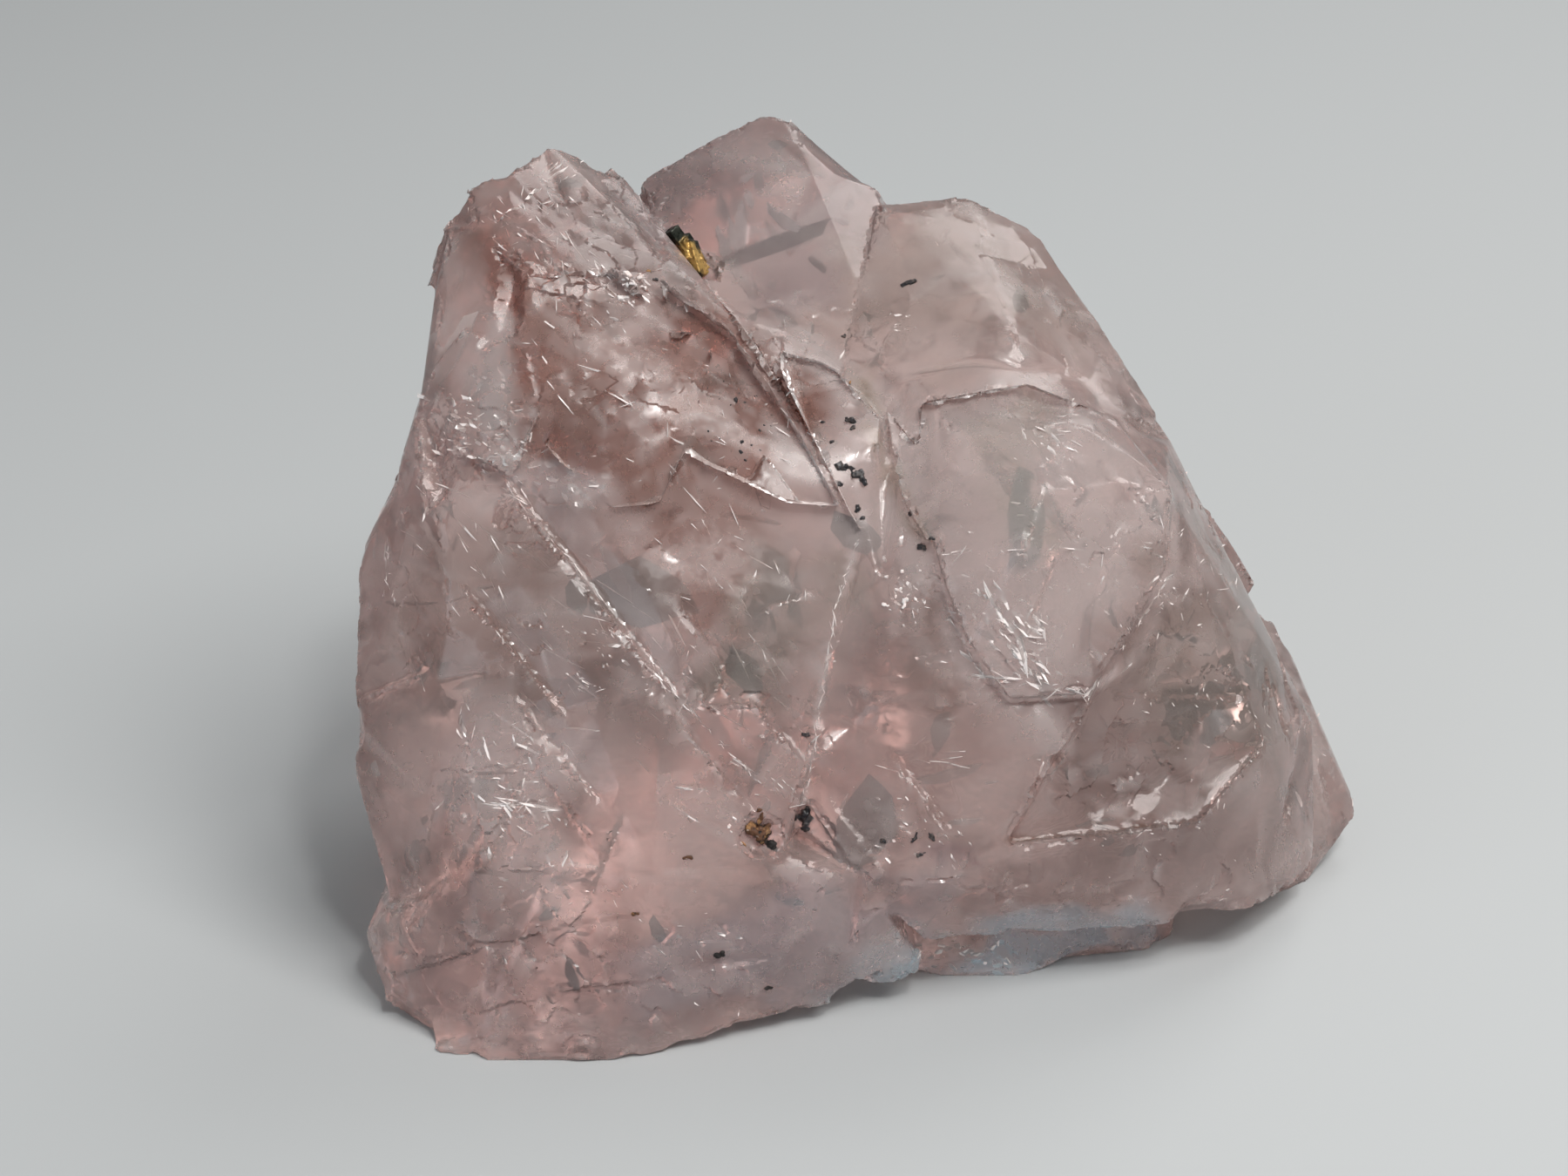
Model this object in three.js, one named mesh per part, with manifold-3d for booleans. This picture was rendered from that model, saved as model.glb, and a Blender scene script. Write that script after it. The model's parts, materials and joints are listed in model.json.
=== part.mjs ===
// Fluorite specimen: a hand-sized cleavage fragment of pale pink fluorite, with a few
// small grains of other minerals set in its front. Units are millimetres, +Z is up, and
// the fragment rests on its broken foot. It is seen best from the front, which is -Y.
//
// Fluorite splits along the four planes of an octahedron. One of them faces the viewer,
// leaning back by LEAN, and the other three give the steps, ledges and chips their edges.

import * as THREE from "three";
import { ConvexGeometry } from "three/addons/geometries/ConvexGeometry.js";
import { mergeVertices } from "three/addons/utils/BufferGeometryUtils.js";
import Module from "manifold-3d";

const wasm = await Module();
wasm.setup();

// Driving dimensions
const LEAN = THREE.MathUtils.degToRad(25); // how far the front leans back from upright
const VIEW_DISTANCE = 185; // from the eye to the middle of the front
const FRONT_MIDDLE = new THREE.Vector3(0, 9.9, 21.3); // above and behind the front of the foot
const GRAIN_GAP = 0.3; // clearance between a grain and the pocket that it sits in
const SEED = 20261;
const STEP_COUNT = 150; // shallow steps over the faces
const CHIP_COUNT = 270; // facets knocked off the edges
const CHIP_LEAST_ANGLE = 0.5; // radians by which the faces at a chipped edge turn, or more
const SCAR_COUNT = 36; // shell-shaped scars

// A point as it is seen from the front: right and up across the view, as they look at
// the middle's distance, and toward the viewer. What lies further away looks smaller,
// so it is set further out.
function seen(right, up, toward) {
  const spread = 1 - toward / VIEW_DISTANCE;
  return new THREE.Vector3(right * spread, up * spread, toward)
    .applyMatrix4(VIEW_TO_PART);
}

// Turns right, up and toward the viewer into the part's X, Y and Z.
const VIEW_TO_PART = new THREE.Matrix4().makeBasis(
  new THREE.Vector3(1, 0, 0),
  new THREE.Vector3(0, Math.sin(LEAN), Math.cos(LEAN)),
  new THREE.Vector3(0, -Math.cos(LEAN), Math.sin(LEAN)),
).setPosition(FRONT_MIDDLE);
const TOWARD_VIEWER = new THREE.Vector3(0, -Math.cos(LEAN), Math.sin(LEAN));

// A point behind the stone, by its place over the floor.
function behind(x, y, z) {
  return new THREE.Vector3(x, y, z);
}

// The four cleavage normals: one toward the viewer, and three that slope away to the
// upper right, the left and the bottom of the view.
const OCTAHEDRAL = Math.acos(1 / 3);
const CLEAVAGE = [null, 37, 157, -83].map((degrees) => {
  if (degrees === null) return TOWARD_VIEWER.clone();
  const turn = THREE.MathUtils.degToRad(degrees);
  return new THREE.Vector3(
    Math.cos(turn) * Math.sin(OCTAHEDRAL),
    Math.sin(turn) * Math.sin(OCTAHEDRAL),
    Math.cos(OCTAHEDRAL),
  ).transformDirection(VIEW_TO_PART);
});

// Repeatable random numbers from 0 to 1.
function makeRandom(seed) {
  let state = seed >>> 0;
  return () => {
    state = (state + 0x6d2b79f5) >>> 0;
    let mixed = Math.imul(state ^ (state >>> 15), state | 1);
    mixed ^= mixed + Math.imul(mixed ^ (mixed >>> 7), mixed | 61);
    return ((mixed ^ (mixed >>> 14)) >>> 0) / 4294967296;
  };
}

const between = (random, low, high) => low + (high - low) * random();

// Solids from three.js geometry, and back
function solidOf(geometry) {
  const bare = geometry.clone();
  bare.deleteAttribute("normal");
  bare.deleteAttribute("uv");
  const merged = mergeVertices(bare, 1e-4);
  return new wasm.Manifold(new wasm.Mesh({
    numProp: 3,
    vertProperties: new Float32Array(merged.attributes.position.array),
    triVerts: new Uint32Array(merged.index.array),
  }));
}

function geometryOf(solid) {
  const mesh = solid.getMesh();
  const positions = new Float32Array(mesh.numVert * 3);
  for (let i = 0; i < mesh.numVert; i++) {
    positions.set(mesh.vertProperties.subarray(i * mesh.numProp, i * mesh.numProp + 3), i * 3);
  }
  const geometry = new THREE.BufferGeometry();
  geometry.setAttribute("position", new THREE.BufferAttribute(positions, 3));
  geometry.setIndex(new THREE.BufferAttribute(new Uint32Array(mesh.triVerts), 1));
  return geometry;
}

const hull = (points) => solidOf(new ConvexGeometry(points));
const joined = (solids) => solids.reduce((all, next) => all.add(next));

// The left mass, which carries the large striated face
function leftMass() {
  return hull([
    seen(-21.3, 7.6, -1.0), // top of the left arris
    seen(-18.7, -14.1, 1.6), // its lower end
    seen(-9.6, -3.2, 1.1), // middle of the striated face
    seen(-10.0, -14.8, 2.0), // brow over the undercut
    seen(-3.6, -13.4, 0.9),
    seen(-2.4, -10.4, -0.7), // the hollow at the foot of the crease
    seen(-0.6, -3.2, -1.3), // along the crease
    seen(0.4, 3.3, -1.8), // its top
    seen(-5.2, 12.6, -4.0), // edge of the valley
    seen(-20.2, 19.1, -4.0), // nose
    seen(-16.5, 16.5, -2.2),
    seen(-17.4, 20.6, -6.0),
    seen(-15.2, 22.2, -9.0), // left peak
    seen(-13.0, 20.4, -9.5),
    seen(-21.3, 15.4, -5.0), // left outline, downwards
    seen(-22.0, 9.8, -5.0),
    seen(-24.8, 1.1, -5.0),
    seen(-25.0, -8.9, -4.0),
    seen(-23.2, -15.5, -4.0),
    behind(-24, 13, 2),
    behind(-24, 27, 2),
    behind(-22, 33, 13),
    behind(-17, 36, 26),
    behind(-13, 32, 36),
    behind(-4, 40, 3),
    behind(-3, 41, 18),
    behind(-2, 14, 4),
  ]);
}

// The skirt under the left mass, down to the foot
function skirt() {
  return hull([
    seen(-19.2, -13.6, 1.2),
    seen(-10.0, -14.6, 2.1),
    seen(-5.0, -12.6, 0.8),
    seen(0.9, -15.0, 0.5),
    seen(-22.6, -17.0, -1.6),
    seen(-18.3, -23.8, 0.2), // front of the foot
    seen(-12.2, -23.9, 0.2),
    seen(-7.2, -22.3, -0.8),
    seen(-2.2, -20.9, -2.2),
    seen(3.0, -18.7, -4.0),
    behind(-23, 30, -1),
    behind(-18, 38, -1),
    behind(-2, 40, -1),
    behind(4, 22, -1),
    behind(-22, 26, 8),
    behind(-4, 36, 8),
  ]);
}

// The right mass, from the crease to the far corner
function rightMass() {
  return hull([
    seen(0.4, 3.3, -1.6), // along the crease
    seen(-2.4, -10.6, -0.2),
    seen(0.9, -15.2, 0.0),
    seen(4.8, -14.6, 0.1),
    seen(7.4, -12.6, -0.5),
    seen(10.0, -9.3, -0.8),
    seen(4.3, 1.5, -0.9),
    seen(3.5, -17.6, -3.5), // lower edge
    seen(15.7, -16.9, -6.0),
    seen(20.0, -16.0, -8.0),
    seen(23.0, -14.2, -13.0),
    seen(20.4, -8.0, -6.0),
    seen(17.2, -11.5, -3.5),
    seen(15.7, 4.8, -3.4),
    seen(15.7, 7.6, -9.5), // right outline, downwards
    seen(19.6, -0.2, -12.0),
    seen(23.0, -6.7, -13.0),
    seen(12.0, 12.5, -12.0),
    seen(1.5, 8.6, -4.2),
    seen(8.5, 9.6, -4.2),
    behind(24, 31, 6),
    behind(20, 36, 14),
    behind(13, 40, 22),
    behind(16, 38, 0),
    behind(2, 41, 0),
    behind(3, 42, 20),
    behind(2, 14, 2.5),
    behind(17, 16, 3.5),
  ]);
}

// The middle, where the left and right masses grew into each other
function middle() {
  return hull([
    seen(-3.4, 9.4, -5.4),
    seen(2.4, 8.0, -4.6),
    seen(-0.5, 0.0, -1.9),
    seen(-2.9, -11.6, -0.5), // floor of the hollow at the foot of the crease
    seen(0.4, -14.4, -0.3),
    seen(4.0, -13.0, -1.4),
    seen(-9.0, 15.0, -11.5),
    seen(5.0, 15.0, -11.5),
    behind(-10, 38, 27),
    behind(6, 41, 26),
    behind(-10, 40, -1),
    behind(8, 40, -1),
    behind(-4, 12, -1),
    behind(3, 17, -1),
  ]);
}

// The pale peak behind the valley
function backPeak() {
  return hull([
    seen(-10.7, 20.4, -14.0),
    seen(-7.4, 22.2, -15.0),
    seen(-4.6, 23.7, -17.0),
    seen(-3.3, 23.5, -17.0),
    seen(1.3, 19.8, -16.0),
    seen(-8.0, 14.6, -9.5),
    seen(-3.4, 10.4, -6.0),
    seen(1.5, 12.0, -8.0),
    seen(0.8, 6.0, -4.5),
    behind(-12, 38.5, 27),
    behind(-9, 40, 29),
    behind(0, 43, 30),
    behind(4, 43.5, 26),
    behind(2, 44, 18),
    behind(-11, 41, 18),
  ]);
}

// The block between the peak and the right outline
function upperRightBlock() {
  return hull([
    seen(1.3, 19.4, -14.0),
    seen(5.7, 19.6, -15.0),
    seen(9.1, 17.8, -16.0),
    seen(12.2, 13.5, -13.5),
    seen(15.2, 8.6, -10.5),
    seen(3.0, 14.2, -8.0),
    seen(8.0, 12.6, -6.5),
    seen(2.0, 8.0, -4.4),
    seen(-0.8, 9.4, -5.2),
    seen(9.0, 8.6, -4.2),
    behind(13, 42, 22),
    behind(4, 44, 26),
    behind(-1, 43, 23),
    behind(3, 44, 14),
  ]);
}

// The raised, shield-shaped plate on the right mass
function shieldPlate() {
  const rim = [
    [4.3, 2.8, -0.1],
    [4.5, 0.4, 0.3],
    [5.7, -2.8, 0.4],
    [7.8, -5.5, -0.1],
    [11.7, -5.2, -0.2],
    [13.9, -2.0, -0.7],
    [15.6, 1.1, -1.5],
    [15.9, 5.0, -2.3],
    [13.0, 8.5, -3.4],
    [8.7, 10.2, -3.4],
    [3.4, 9.2, -3.0],
    [3.2, 5.4, -1.6],
  ];
  const bed = 4.5;
  const crown = [
    [8.4, 1.6, 1.0],
    [9.5, 5.0, 0.2],
    [9.0, -3.0, 0.7],
  ];
  return hull([
    ...rim.map(([right, up, toward]) => seen(right, up, toward)),
    ...rim.map(([right, up, toward]) => seen(right, up, toward - bed)),
    ...crown.map(([right, up, toward]) => seen(right, up, toward)),
  ]);
}

// The speckled ledge in the middle, above the crease
function speckledLedge() {
  return joined([
    hull([
      seen(-4.2, 12.0, -3.2),
      seen(-1.2, 11.2, -3.6),
      seen(1.3, 8.4, -2.6),
      seen(1.0, 3.0, -0.6),
      seen(0.2, 2.9, -0.6),
      seen(-3.6, 10.6, -2.4),
      seen(-3.0, 11.6, -7.0),
      seen(2.0, 8.0, -7.0),
      seen(1.0, 2.6, -4.0),
    ]),
    hull([
      seen(1.6, 9.0, -3.4),
      seen(3.4, 6.6, -1.6),
      seen(4.4, 2.5, -0.2),
      seen(3.6, 2.4, -0.4),
      seen(2.2, 5.0, -1.5),
      seen(2.4, 8.0, -7.0),
      seen(4.4, 2.6, -4.0),
      seen(3.4, 2.4, -4.0),
    ]),
  ]);
}

// The plates that lie over the top of the striated face and end in a ledge
function upperPlates() {
  return joined([
    hull([
      seen(-21.4, 10.5, -1.6),
      seen(-21.0, 6.9, -0.4),
      seen(-17.0, 5.6, 0.6),
      seen(-15.6, 8.6, 0.4),
      seen(-16.4, 11.8, -0.2),
      seen(-19.6, 13.0, -1.6),
      seen(-20.6, 7.4, -4.0),
      seen(-16.8, 6.4, -4.0),
      seen(-16.5, 12.0, -4.0),
    ]),
    hull([
      seen(-17.6, 10.2, -0.3),
      seen(-15.2, 6.8, 0.4),
      seen(-12.2, 3.9, 0.8),
      seen(-9.7, 4.2, 0.7),
      seen(-8.2, 7.4, 0.0),
      seen(-7.0, 12.0, -1.9),
      seen(-12.0, 16.0, -2.2),
      seen(-17.4, 15.6, -1.4),
      seen(-12.5, 5.4, -4.0),
      seen(-9.0, 6.6, -4.0),
      seen(-12.0, 14.6, -6.0),
    ]),
    hull([
      seen(-9.8, 15.6, -3.4),
      seen(-6.0, 12.8, -3.2),
      seen(-2.8, 8.0, -1.6),
      seen(-0.6, 4.0, -0.6),
      seen(-3.4, 4.2, -0.2),
      seen(-8.4, 6.6, 0.0),
      seen(-6.0, 11.0, -6.0),
      seen(-2.0, 5.0, -4.0),
    ]),
  ]);
}

// The blocks behind the nose, stepping up to the left peak
function crestBlocks() {
  return joined([
    hull([
      seen(-19.6, 19.9, -4.8),
      seen(-17.2, 21.0, -6.4),
      seen(-14.4, 17.6, -4.4),
      seen(-12.4, 14.9, -3.2),
      seen(-14.0, 14.4, -2.6),
      seen(-17.6, 17.4, -3.0),
      seen(-17.0, 17.4, -9.0),
      seen(-12.6, 14.8, -8.0),
    ]),
    hull([
      seen(-12.6, 20.6, -10.0),
      seen(-11.6, 20.8, -11.5),
      seen(-10.0, 18.6, -10.0),
      seen(-6.4, 13.6, -6.2),
      seen(-8.2, 13.2, -4.6),
      seen(-11.6, 18.0, -7.4),
      seen(-11.0, 17.0, -14.0),
      seen(-7.0, 12.6, -10.0),
    ]),
  ]);
}

// The lobe at the lower left, whose edge is thin and ragged
function footLobe() {
  return hull([
    seen(-23.6, -16.0, -3.4),
    seen(-24.6, -17.8, -4.2),
    seen(-24.1, -19.6, -3.6),
    seen(-22.8, -21.6, -2.6),
    seen(-20.4, -23.5, -1.2),
    seen(-18.0, -23.6, -0.2),
    seen(-18.6, -16.0, 1.0),
    seen(-21.0, -15.4, -0.4),
    behind(-24, 12, 0),
    behind(-24.4, 11, 4),
    behind(-14, 12, 0),
  ]);
}

// The low lip under the right mass, set back from the front
function footLip() {
  return hull([
    seen(2.6, -18.9, -7.6),
    seen(5.0, -19.7, -7.2),
    seen(8.4, -19.7, -7.3),
    seen(13.9, -18.8, -8.9),
    seen(15.9, -17.6, -11.0),
    seen(15.8, -15.5, -10.0),
    seen(3.6, -15.8, -6.0),
    behind(20, 31, -1),
    behind(16, 37, -1),
    behind(2, 39, -1),
    behind(16, 30, 8),
    behind(0, 28, 8),
  ]);
}

// The worn corner at the far right
function farCorner() {
  return hull([
    seen(22.0, -8.0, -15.0),
    seen(24.0, -8.4, -18.0),
    seen(25.2, -11.1, -18.5),
    seen(24.6, -13.4, -18.0),
    seen(23.0, -15.0, -17.0),
    seen(20.6, -15.6, -14.5),
    seen(20.6, -12.0, -11.5),
    behind(22, 34, 3),
    behind(24, 32, 9),
    behind(16, 30, 4),
    behind(17, 32, 12),
  ]);
}

// A piece of the shape that cleavage leaves: a slanted box whose three pairs of faces lie
// along three of the four cleavage planes. sizes are its thicknesses between each pair.
function cleavageBox(centre, planes, sizes) {
  const normals = planes.map((plane) => CLEAVAGE[plane]);
  const edges = normals.map((normal, i) => {
    const edge = new THREE.Vector3().crossVectors(normals[(i + 1) % 3], normals[(i + 2) % 3]);
    return edge.multiplyScalar(sizes[i] / (2 * edge.dot(normal)));
  });
  const corners = [];
  for (const a of [-1, 1]) {
    for (const b of [-1, 1]) {
      for (const c of [-1, 1]) {
        corners.push(centre.clone()
          .addScaledVector(edges[0], a)
          .addScaledVector(edges[1], b)
          .addScaledVector(edges[2], c));
      }
    }
  }
  return hull(corners);
}

// A long cleavage step cut into a face: a sliver, deepest along one straight edge and
// running out to nothing on the other side and at both ends
function stepCutter({ point, normal }, along, { length, width, depth }) {
  const lengthwise = along.clone().projectOnPlane(normal).normalize();
  const across = new THREE.Vector3().crossVectors(normal, lengthwise);
  const corner = (l, w, h) => point.clone()
    .addScaledVector(lengthwise, l * length)
    .addScaledVector(across, w * width)
    .addScaledVector(normal, h);
  const clear = 0.8;
  const cutter = hull([
    corner(-0.32, 0, -depth), corner(0.3, 0, -depth),
    corner(-0.5, 0, 0), corner(0.5, 0, 0),
    corner(-0.28, 1, 0), corner(0.34, 0.9, 0),
    corner(-0.5, -0.1, clear), corner(0.5, -0.1, clear),
    corner(-0.28, 1.1, clear), corner(0.34, 1, clear),
  ]);
  return { cutter, most: 0.5 * length * width * depth };
}

// A solid less the cutters that bite no more than they are meant to. One that runs into a
// neighbouring face would leave a pit there, so it is left out.
function struck(solid, cutters) {
  const shallow = cutters.filter(({ cutter, most }) => solid.intersect(cutter).volume() <= most);
  return solid.subtract(joined(shallow.map(({ cutter }) => cutter)));
}

// Long steps down the striated face, parallel to the edge of the upper right plane
const STRIATION = seen(1, -1.25, 0).sub(seen(0, 0, 0)).normalize();

function striationSteps(solid) {
  const steps = [
    { right: -12.6, up: -0.6, depth: 0.55, width: 3.2, length: 19 },
    { right: -10.4, up: -3.6, depth: 0.4, width: 2.4, length: 17 },
    { right: -5.8, up: -4.4, depth: 0.45, width: 2.6, length: 13 },
    { right: -16.6, up: -3.6, depth: 0.4, width: 2.2, length: 11 },
    { right: -14.6, up: -8.4, depth: 0.35, width: 2.4, length: 9 },
    { right: -7.4, up: -8.2, depth: 0.3, width: 1.8, length: 9 },
    { right: 3.4, up: -10.2, depth: 0.3, width: 1.6, length: 6 },
  ];
  return steps.map(({ right, up, ...sizes }) =>
    stepCutter(surfaceAt(solid, right, up), STRIATION, sizes).cutter);
}

// The slight hollow in the left outline, above its widest place
function leftHollow() {
  return hull([
    seen(-20.8, 15.6, -3.0),
    seen(-21.6, 9.8, -2.6),
    seen(-23.0, 5.2, -2.6),
    seen(-25.0, 0.9, -3.0),
    seen(-20.8, 15.6, -14.0),
    seen(-21.6, 9.8, -14.0),
    seen(-23.0, 5.2, -14.0),
    seen(-25.0, 0.9, -14.0),
    seen(-27.0, 8.0, -3.0),
    seen(-27.0, 8.0, -14.0),
  ]);
}

// The recessed facet on the right, bounded by straight edges
function windowRecess() {
  return hull([
    seen(12.0, -5.4, -1.6),
    seen(15.9, 0.8, -2.6),
    seen(19.0, -1.0, -4.6),
    seen(20.6, -7.6, -6.6),
    seen(17.2, -11.6, -4.6),
    seen(7.6, -12.8, -1.6),
    seen(10.0, -9.2, -1.6),
    seen(12.0, -5.4, 6.0),
    seen(15.9, 0.8, 6.0),
    seen(22.0, -1.0, 6.0),
    seen(22.6, -7.6, 6.0),
    seen(17.6, -11.9, 6.0),
    seen(7.4, -12.8, 6.0),
    seen(10.0, -9.2, 6.0),
  ]);
}

// Random points on a solid's surface, spread evenly over its area
function surfacePoints(solid, count, random) {
  const geometry = geometryOf(solid);
  const position = geometry.attributes.position;
  const index = geometry.index.array;
  const areas = [];
  const triangle = new THREE.Triangle();
  const corner = (i) => new THREE.Vector3().fromBufferAttribute(position, index[i]);
  let total = 0;
  for (let i = 0; i < index.length; i += 3) {
    triangle.set(corner(i), corner(i + 1), corner(i + 2));
    total += triangle.getArea();
    areas.push(total);
  }
  return Array.from({ length: count }, () => {
    const wanted = random() * total;
    const face = areas.findIndex((area) => area >= wanted) * 3;
    triangle.set(corner(face), corner(face + 1), corner(face + 2));
    const [u, v] = [Math.sqrt(random()), random()];
    const point = triangle.a.clone().multiplyScalar(1 - u)
      .addScaledVector(triangle.b, u * (1 - v))
      .addScaledVector(triangle.c, u * v);
    return { point, normal: triangle.getNormal(new THREE.Vector3()) };
  });
}

// Random points along a solid's outer edges, where its faces turn by more than the least angle
function edgePoints(solid, count, random, leastAngle) {
  const geometry = geometryOf(solid);
  const position = geometry.attributes.position;
  const index = geometry.index.array;
  const faces = new Map();
  const corner = (i) => new THREE.Vector3().fromBufferAttribute(position, i);
  for (let i = 0; i < index.length; i += 3) {
    const three = [index[i], index[i + 1], index[i + 2]];
    const normal = new THREE.Triangle(...three.map(corner)).getNormal(new THREE.Vector3());
    three.forEach((a, k) => {
      const b = three[(k + 1) % 3];
      const key = Math.min(a, b) + "_" + Math.max(a, b);
      const opposite = corner(three[(k + 2) % 3]);
      faces.set(key, [...(faces.get(key) ?? []), { a, b, normal, opposite }]);
    });
  }
  const edges = [];
  let total = 0;
  for (const [one, two] of faces.values()) {
    const start = corner(one.a);
    const end = corner(one.b);
    const turn = one.normal.angleTo(two.normal);
    const outer = two.opposite.clone().sub(start).dot(one.normal) < 0;
    if (!outer || turn < leastAngle) continue;
    total += start.distanceTo(end);
    const normal = one.normal.clone().add(two.normal).normalize();
    edges.push({ start, end, total, normal, slope: Math.tan(turn / 2) });
  }
  return Array.from({ length: count }, () => {
    const wanted = random() * total;
    const { start, end, normal, slope } = edges.find((edge) => edge.total >= wanted);
    const along = end.clone().sub(start).normalize();
    return { point: start.clone().lerp(end, random()), along, normal, slope };
  });
}

// The way that a cleavage plane, picked at random, crosses a face
function traceOn(normal, random) {
  const crossing = CLEAVAGE.filter((plane) => Math.abs(plane.dot(normal)) < 0.9);
  const plane = crossing[Math.floor(random() * crossing.length)];
  const trace = new THREE.Vector3().crossVectors(plane, normal);
  return random() < 0.5 ? trace : trace.negate();
}

// Shallow steps over all the faces
function faceSteps(solid, random) {
  return surfacePoints(solid, STEP_COUNT, random).map((place) => {
    const length = between(random, 3, 12);
    const width = length * between(random, 0.15, 0.35);
    const depth = between(random, 0.1, 0.35);
    return stepCutter(place, traceOn(place.normal, random), { length, width, depth });
  });
}

// A facet knocked off an edge, longer than it is wide, that runs out at both ends
function chipCutter({ point, along, normal, slope }, length, width, random) {
  const tilt = new THREE.Vector3(
    between(random, -1, 1), between(random, -1, 1), between(random, -1, 1));
  const outward = normal.clone().addScaledVector(tilt, 0.15).normalize();
  const lengthwise = along.clone().projectOnPlane(outward).normalize();
  const across = new THREE.Vector3().crossVectors(outward, lengthwise);
  const corner = (l, w, h) => point.clone()
    .addScaledVector(lengthwise, l * length)
    .addScaledVector(across, w * width)
    .addScaledVector(outward, h);
  const depth = Math.min(0.5 * width * slope, 0.9);
  const skew = between(random, -0.2, 0.2);
  const cutter = hull([
    corner(-0.4 + skew, -0.7, -depth), corner(0.3 + skew, -0.6, -depth),
    corner(-0.3 - skew, 0.6, -depth), corner(0.4 - skew, 0.7, -depth),
    corner(-0.7, -0.7, depth), corner(0.7, -0.7, depth),
    corner(-0.7, 0.7, depth), corner(0.7, 0.7, depth),
  ]);
  return { cutter, most: 0.6 * length * width * depth };
}

function edgeChips(solid, random) {
  return edgePoints(solid, CHIP_COUNT, random, CHIP_LEAST_ANGLE).map((place) => {
    const width = between(random, 0.6, 2.4);
    return chipCutter(place, width * between(random, 1.2, 3.5), width, random);
  });
}

// The shallow, shell-shaped scars where an edge was struck
function shellScars(solid, random) {
  return edgePoints(solid, SCAR_COUNT, random, CHIP_LEAST_ANGLE).map(({ point, normal, slope }) => {
    const radius = between(random, 2, 5);
    const depth = radius * between(random, 0.1, 0.16);
    const scar = new THREE.IcosahedronGeometry(radius, 1);
    scar.scale(1, 1, between(random, 0.7, 1));
    scar.rotateY(between(random, 0, Math.PI));
    const centre = point.clone().addScaledVector(normal, radius - depth);
    scar.translate(centre.x, centre.y, centre.z);
    const flatCap = Math.PI * depth * depth * (radius - depth / 3);
    return { cutter: solidOf(scar), most: flatCap / (1 + slope) };
  });
}

// Small lobes that give the rim of the foot its scalloped edge
function rimLobes(random) {
  const rim = new THREE.CatmullRomCurve3([
    seen(-23.6, -17.8, -3.4), seen(-22.6, -20.6, -2.6), seen(-20.2, -22.6, -1.2),
    seen(-17.4, -22.9, -0.2), seen(-12.4, -22.7, -0.2), seen(-7.6, -21.6, -1.0),
    seen(-2.4, -20.2, -2.6), seen(2.2, -18.4, -4.2),
  ]);
  const count = 15;
  return Array.from({ length: count }, (unused, i) => {
    const at = rim.getPointAt((i + between(random, 0.2, 0.8)) / count);
    const radius = between(random, 0.9, 1.9);
    const lobe = new THREE.SphereGeometry(radius, 9, 5);
    lobe.rotateY(between(random, 0, Math.PI));
    lobe.scale(1.1, 0.6, 0.75);
    lobe.translate(at.x, at.y + 0.3, at.z);
    return solidOf(lobe);
  });
}

// Cleavage blocks that stand a little proud of the back. They reach no further out than the
// stone does around them, so their sharp corners are cut to its outline.
function backBlocks(stone) {
  const blocks = joined([
    cleavageBox(behind(-10, 32, 15), [0, 1, 3], [19, 15, 13]),
    cleavageBox(behind(-15, 27, 19), [0, 2, 3], [17, 15, 17]),
    cleavageBox(behind(8, 32, 17), [0, 1, 2], [21, 16, 14]),
    cleavageBox(behind(14, 29, 9), [0, 2, 3], [18, 13, 12]),
    cleavageBox(behind(-4, 33, 8), [0, 1, 2], [17, 17, 12]),
  ]);
  const rear = new THREE.BoxGeometry(90, 40, 40);
  rear.translate(0, 51, 9);
  const corners = geometryOf(stone).attributes.position;
  const outline = hull(Array.from({ length: corners.count }, (unused, i) =>
    new THREE.Vector3().fromBufferAttribute(corners, i)));
  return blocks.intersect(outline).intersect(solidOf(rear));
}

// Corners broken off at the back, each along cleavage planes
function backBreaks() {
  return [
    cleavageBox(behind(-30, 46, 34), [0, 1, 2], [22, 22, 20]),
    cleavageBox(behind(-38, 42, -4), [1, 2, 3], [20, 20, 22]),
    cleavageBox(behind(22, 54, 34), [0, 1, 3], [22, 22, 22]),
    cleavageBox(behind(38, 48, 7), [0, 1, 2], [22, 22, 22]),
  ];
}

// Everything below the foot, which is broken off flat
function floorBlock() {
  const depth = 40;
  const block = new THREE.BoxGeometry(120, 120, depth);
  block.translate(0, 20, -depth / 2);
  return solidOf(block);
}

// The first point of a solid on the line of sight through a place in the view
function surfaceAt(solid, right, up) {
  const mesh = new THREE.Mesh(geometryOf(solid));
  const eye = new THREE.Vector3(0, 0, VIEW_DISTANCE).applyMatrix4(VIEW_TO_PART);
  const aim = seen(right, up, 0).sub(eye).normalize();
  const [hit] = new THREE.Raycaster(eye, aim).intersectObject(mesh);
  return { point: hit.point, normal: hit.face.normal.clone() };
}

// A crystal grain: a lump with flat faces, longest along its own X
function grainGeometry({ size, turn, rounded = false }, extra) {
  const lump = rounded ? new THREE.DodecahedronGeometry(1) : new THREE.OctahedronGeometry(1);
  lump.scale(...size.map((side) => side / 2 + extra));
  lump.rotateZ(THREE.MathUtils.degToRad(turn));
  return lump;
}

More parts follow.
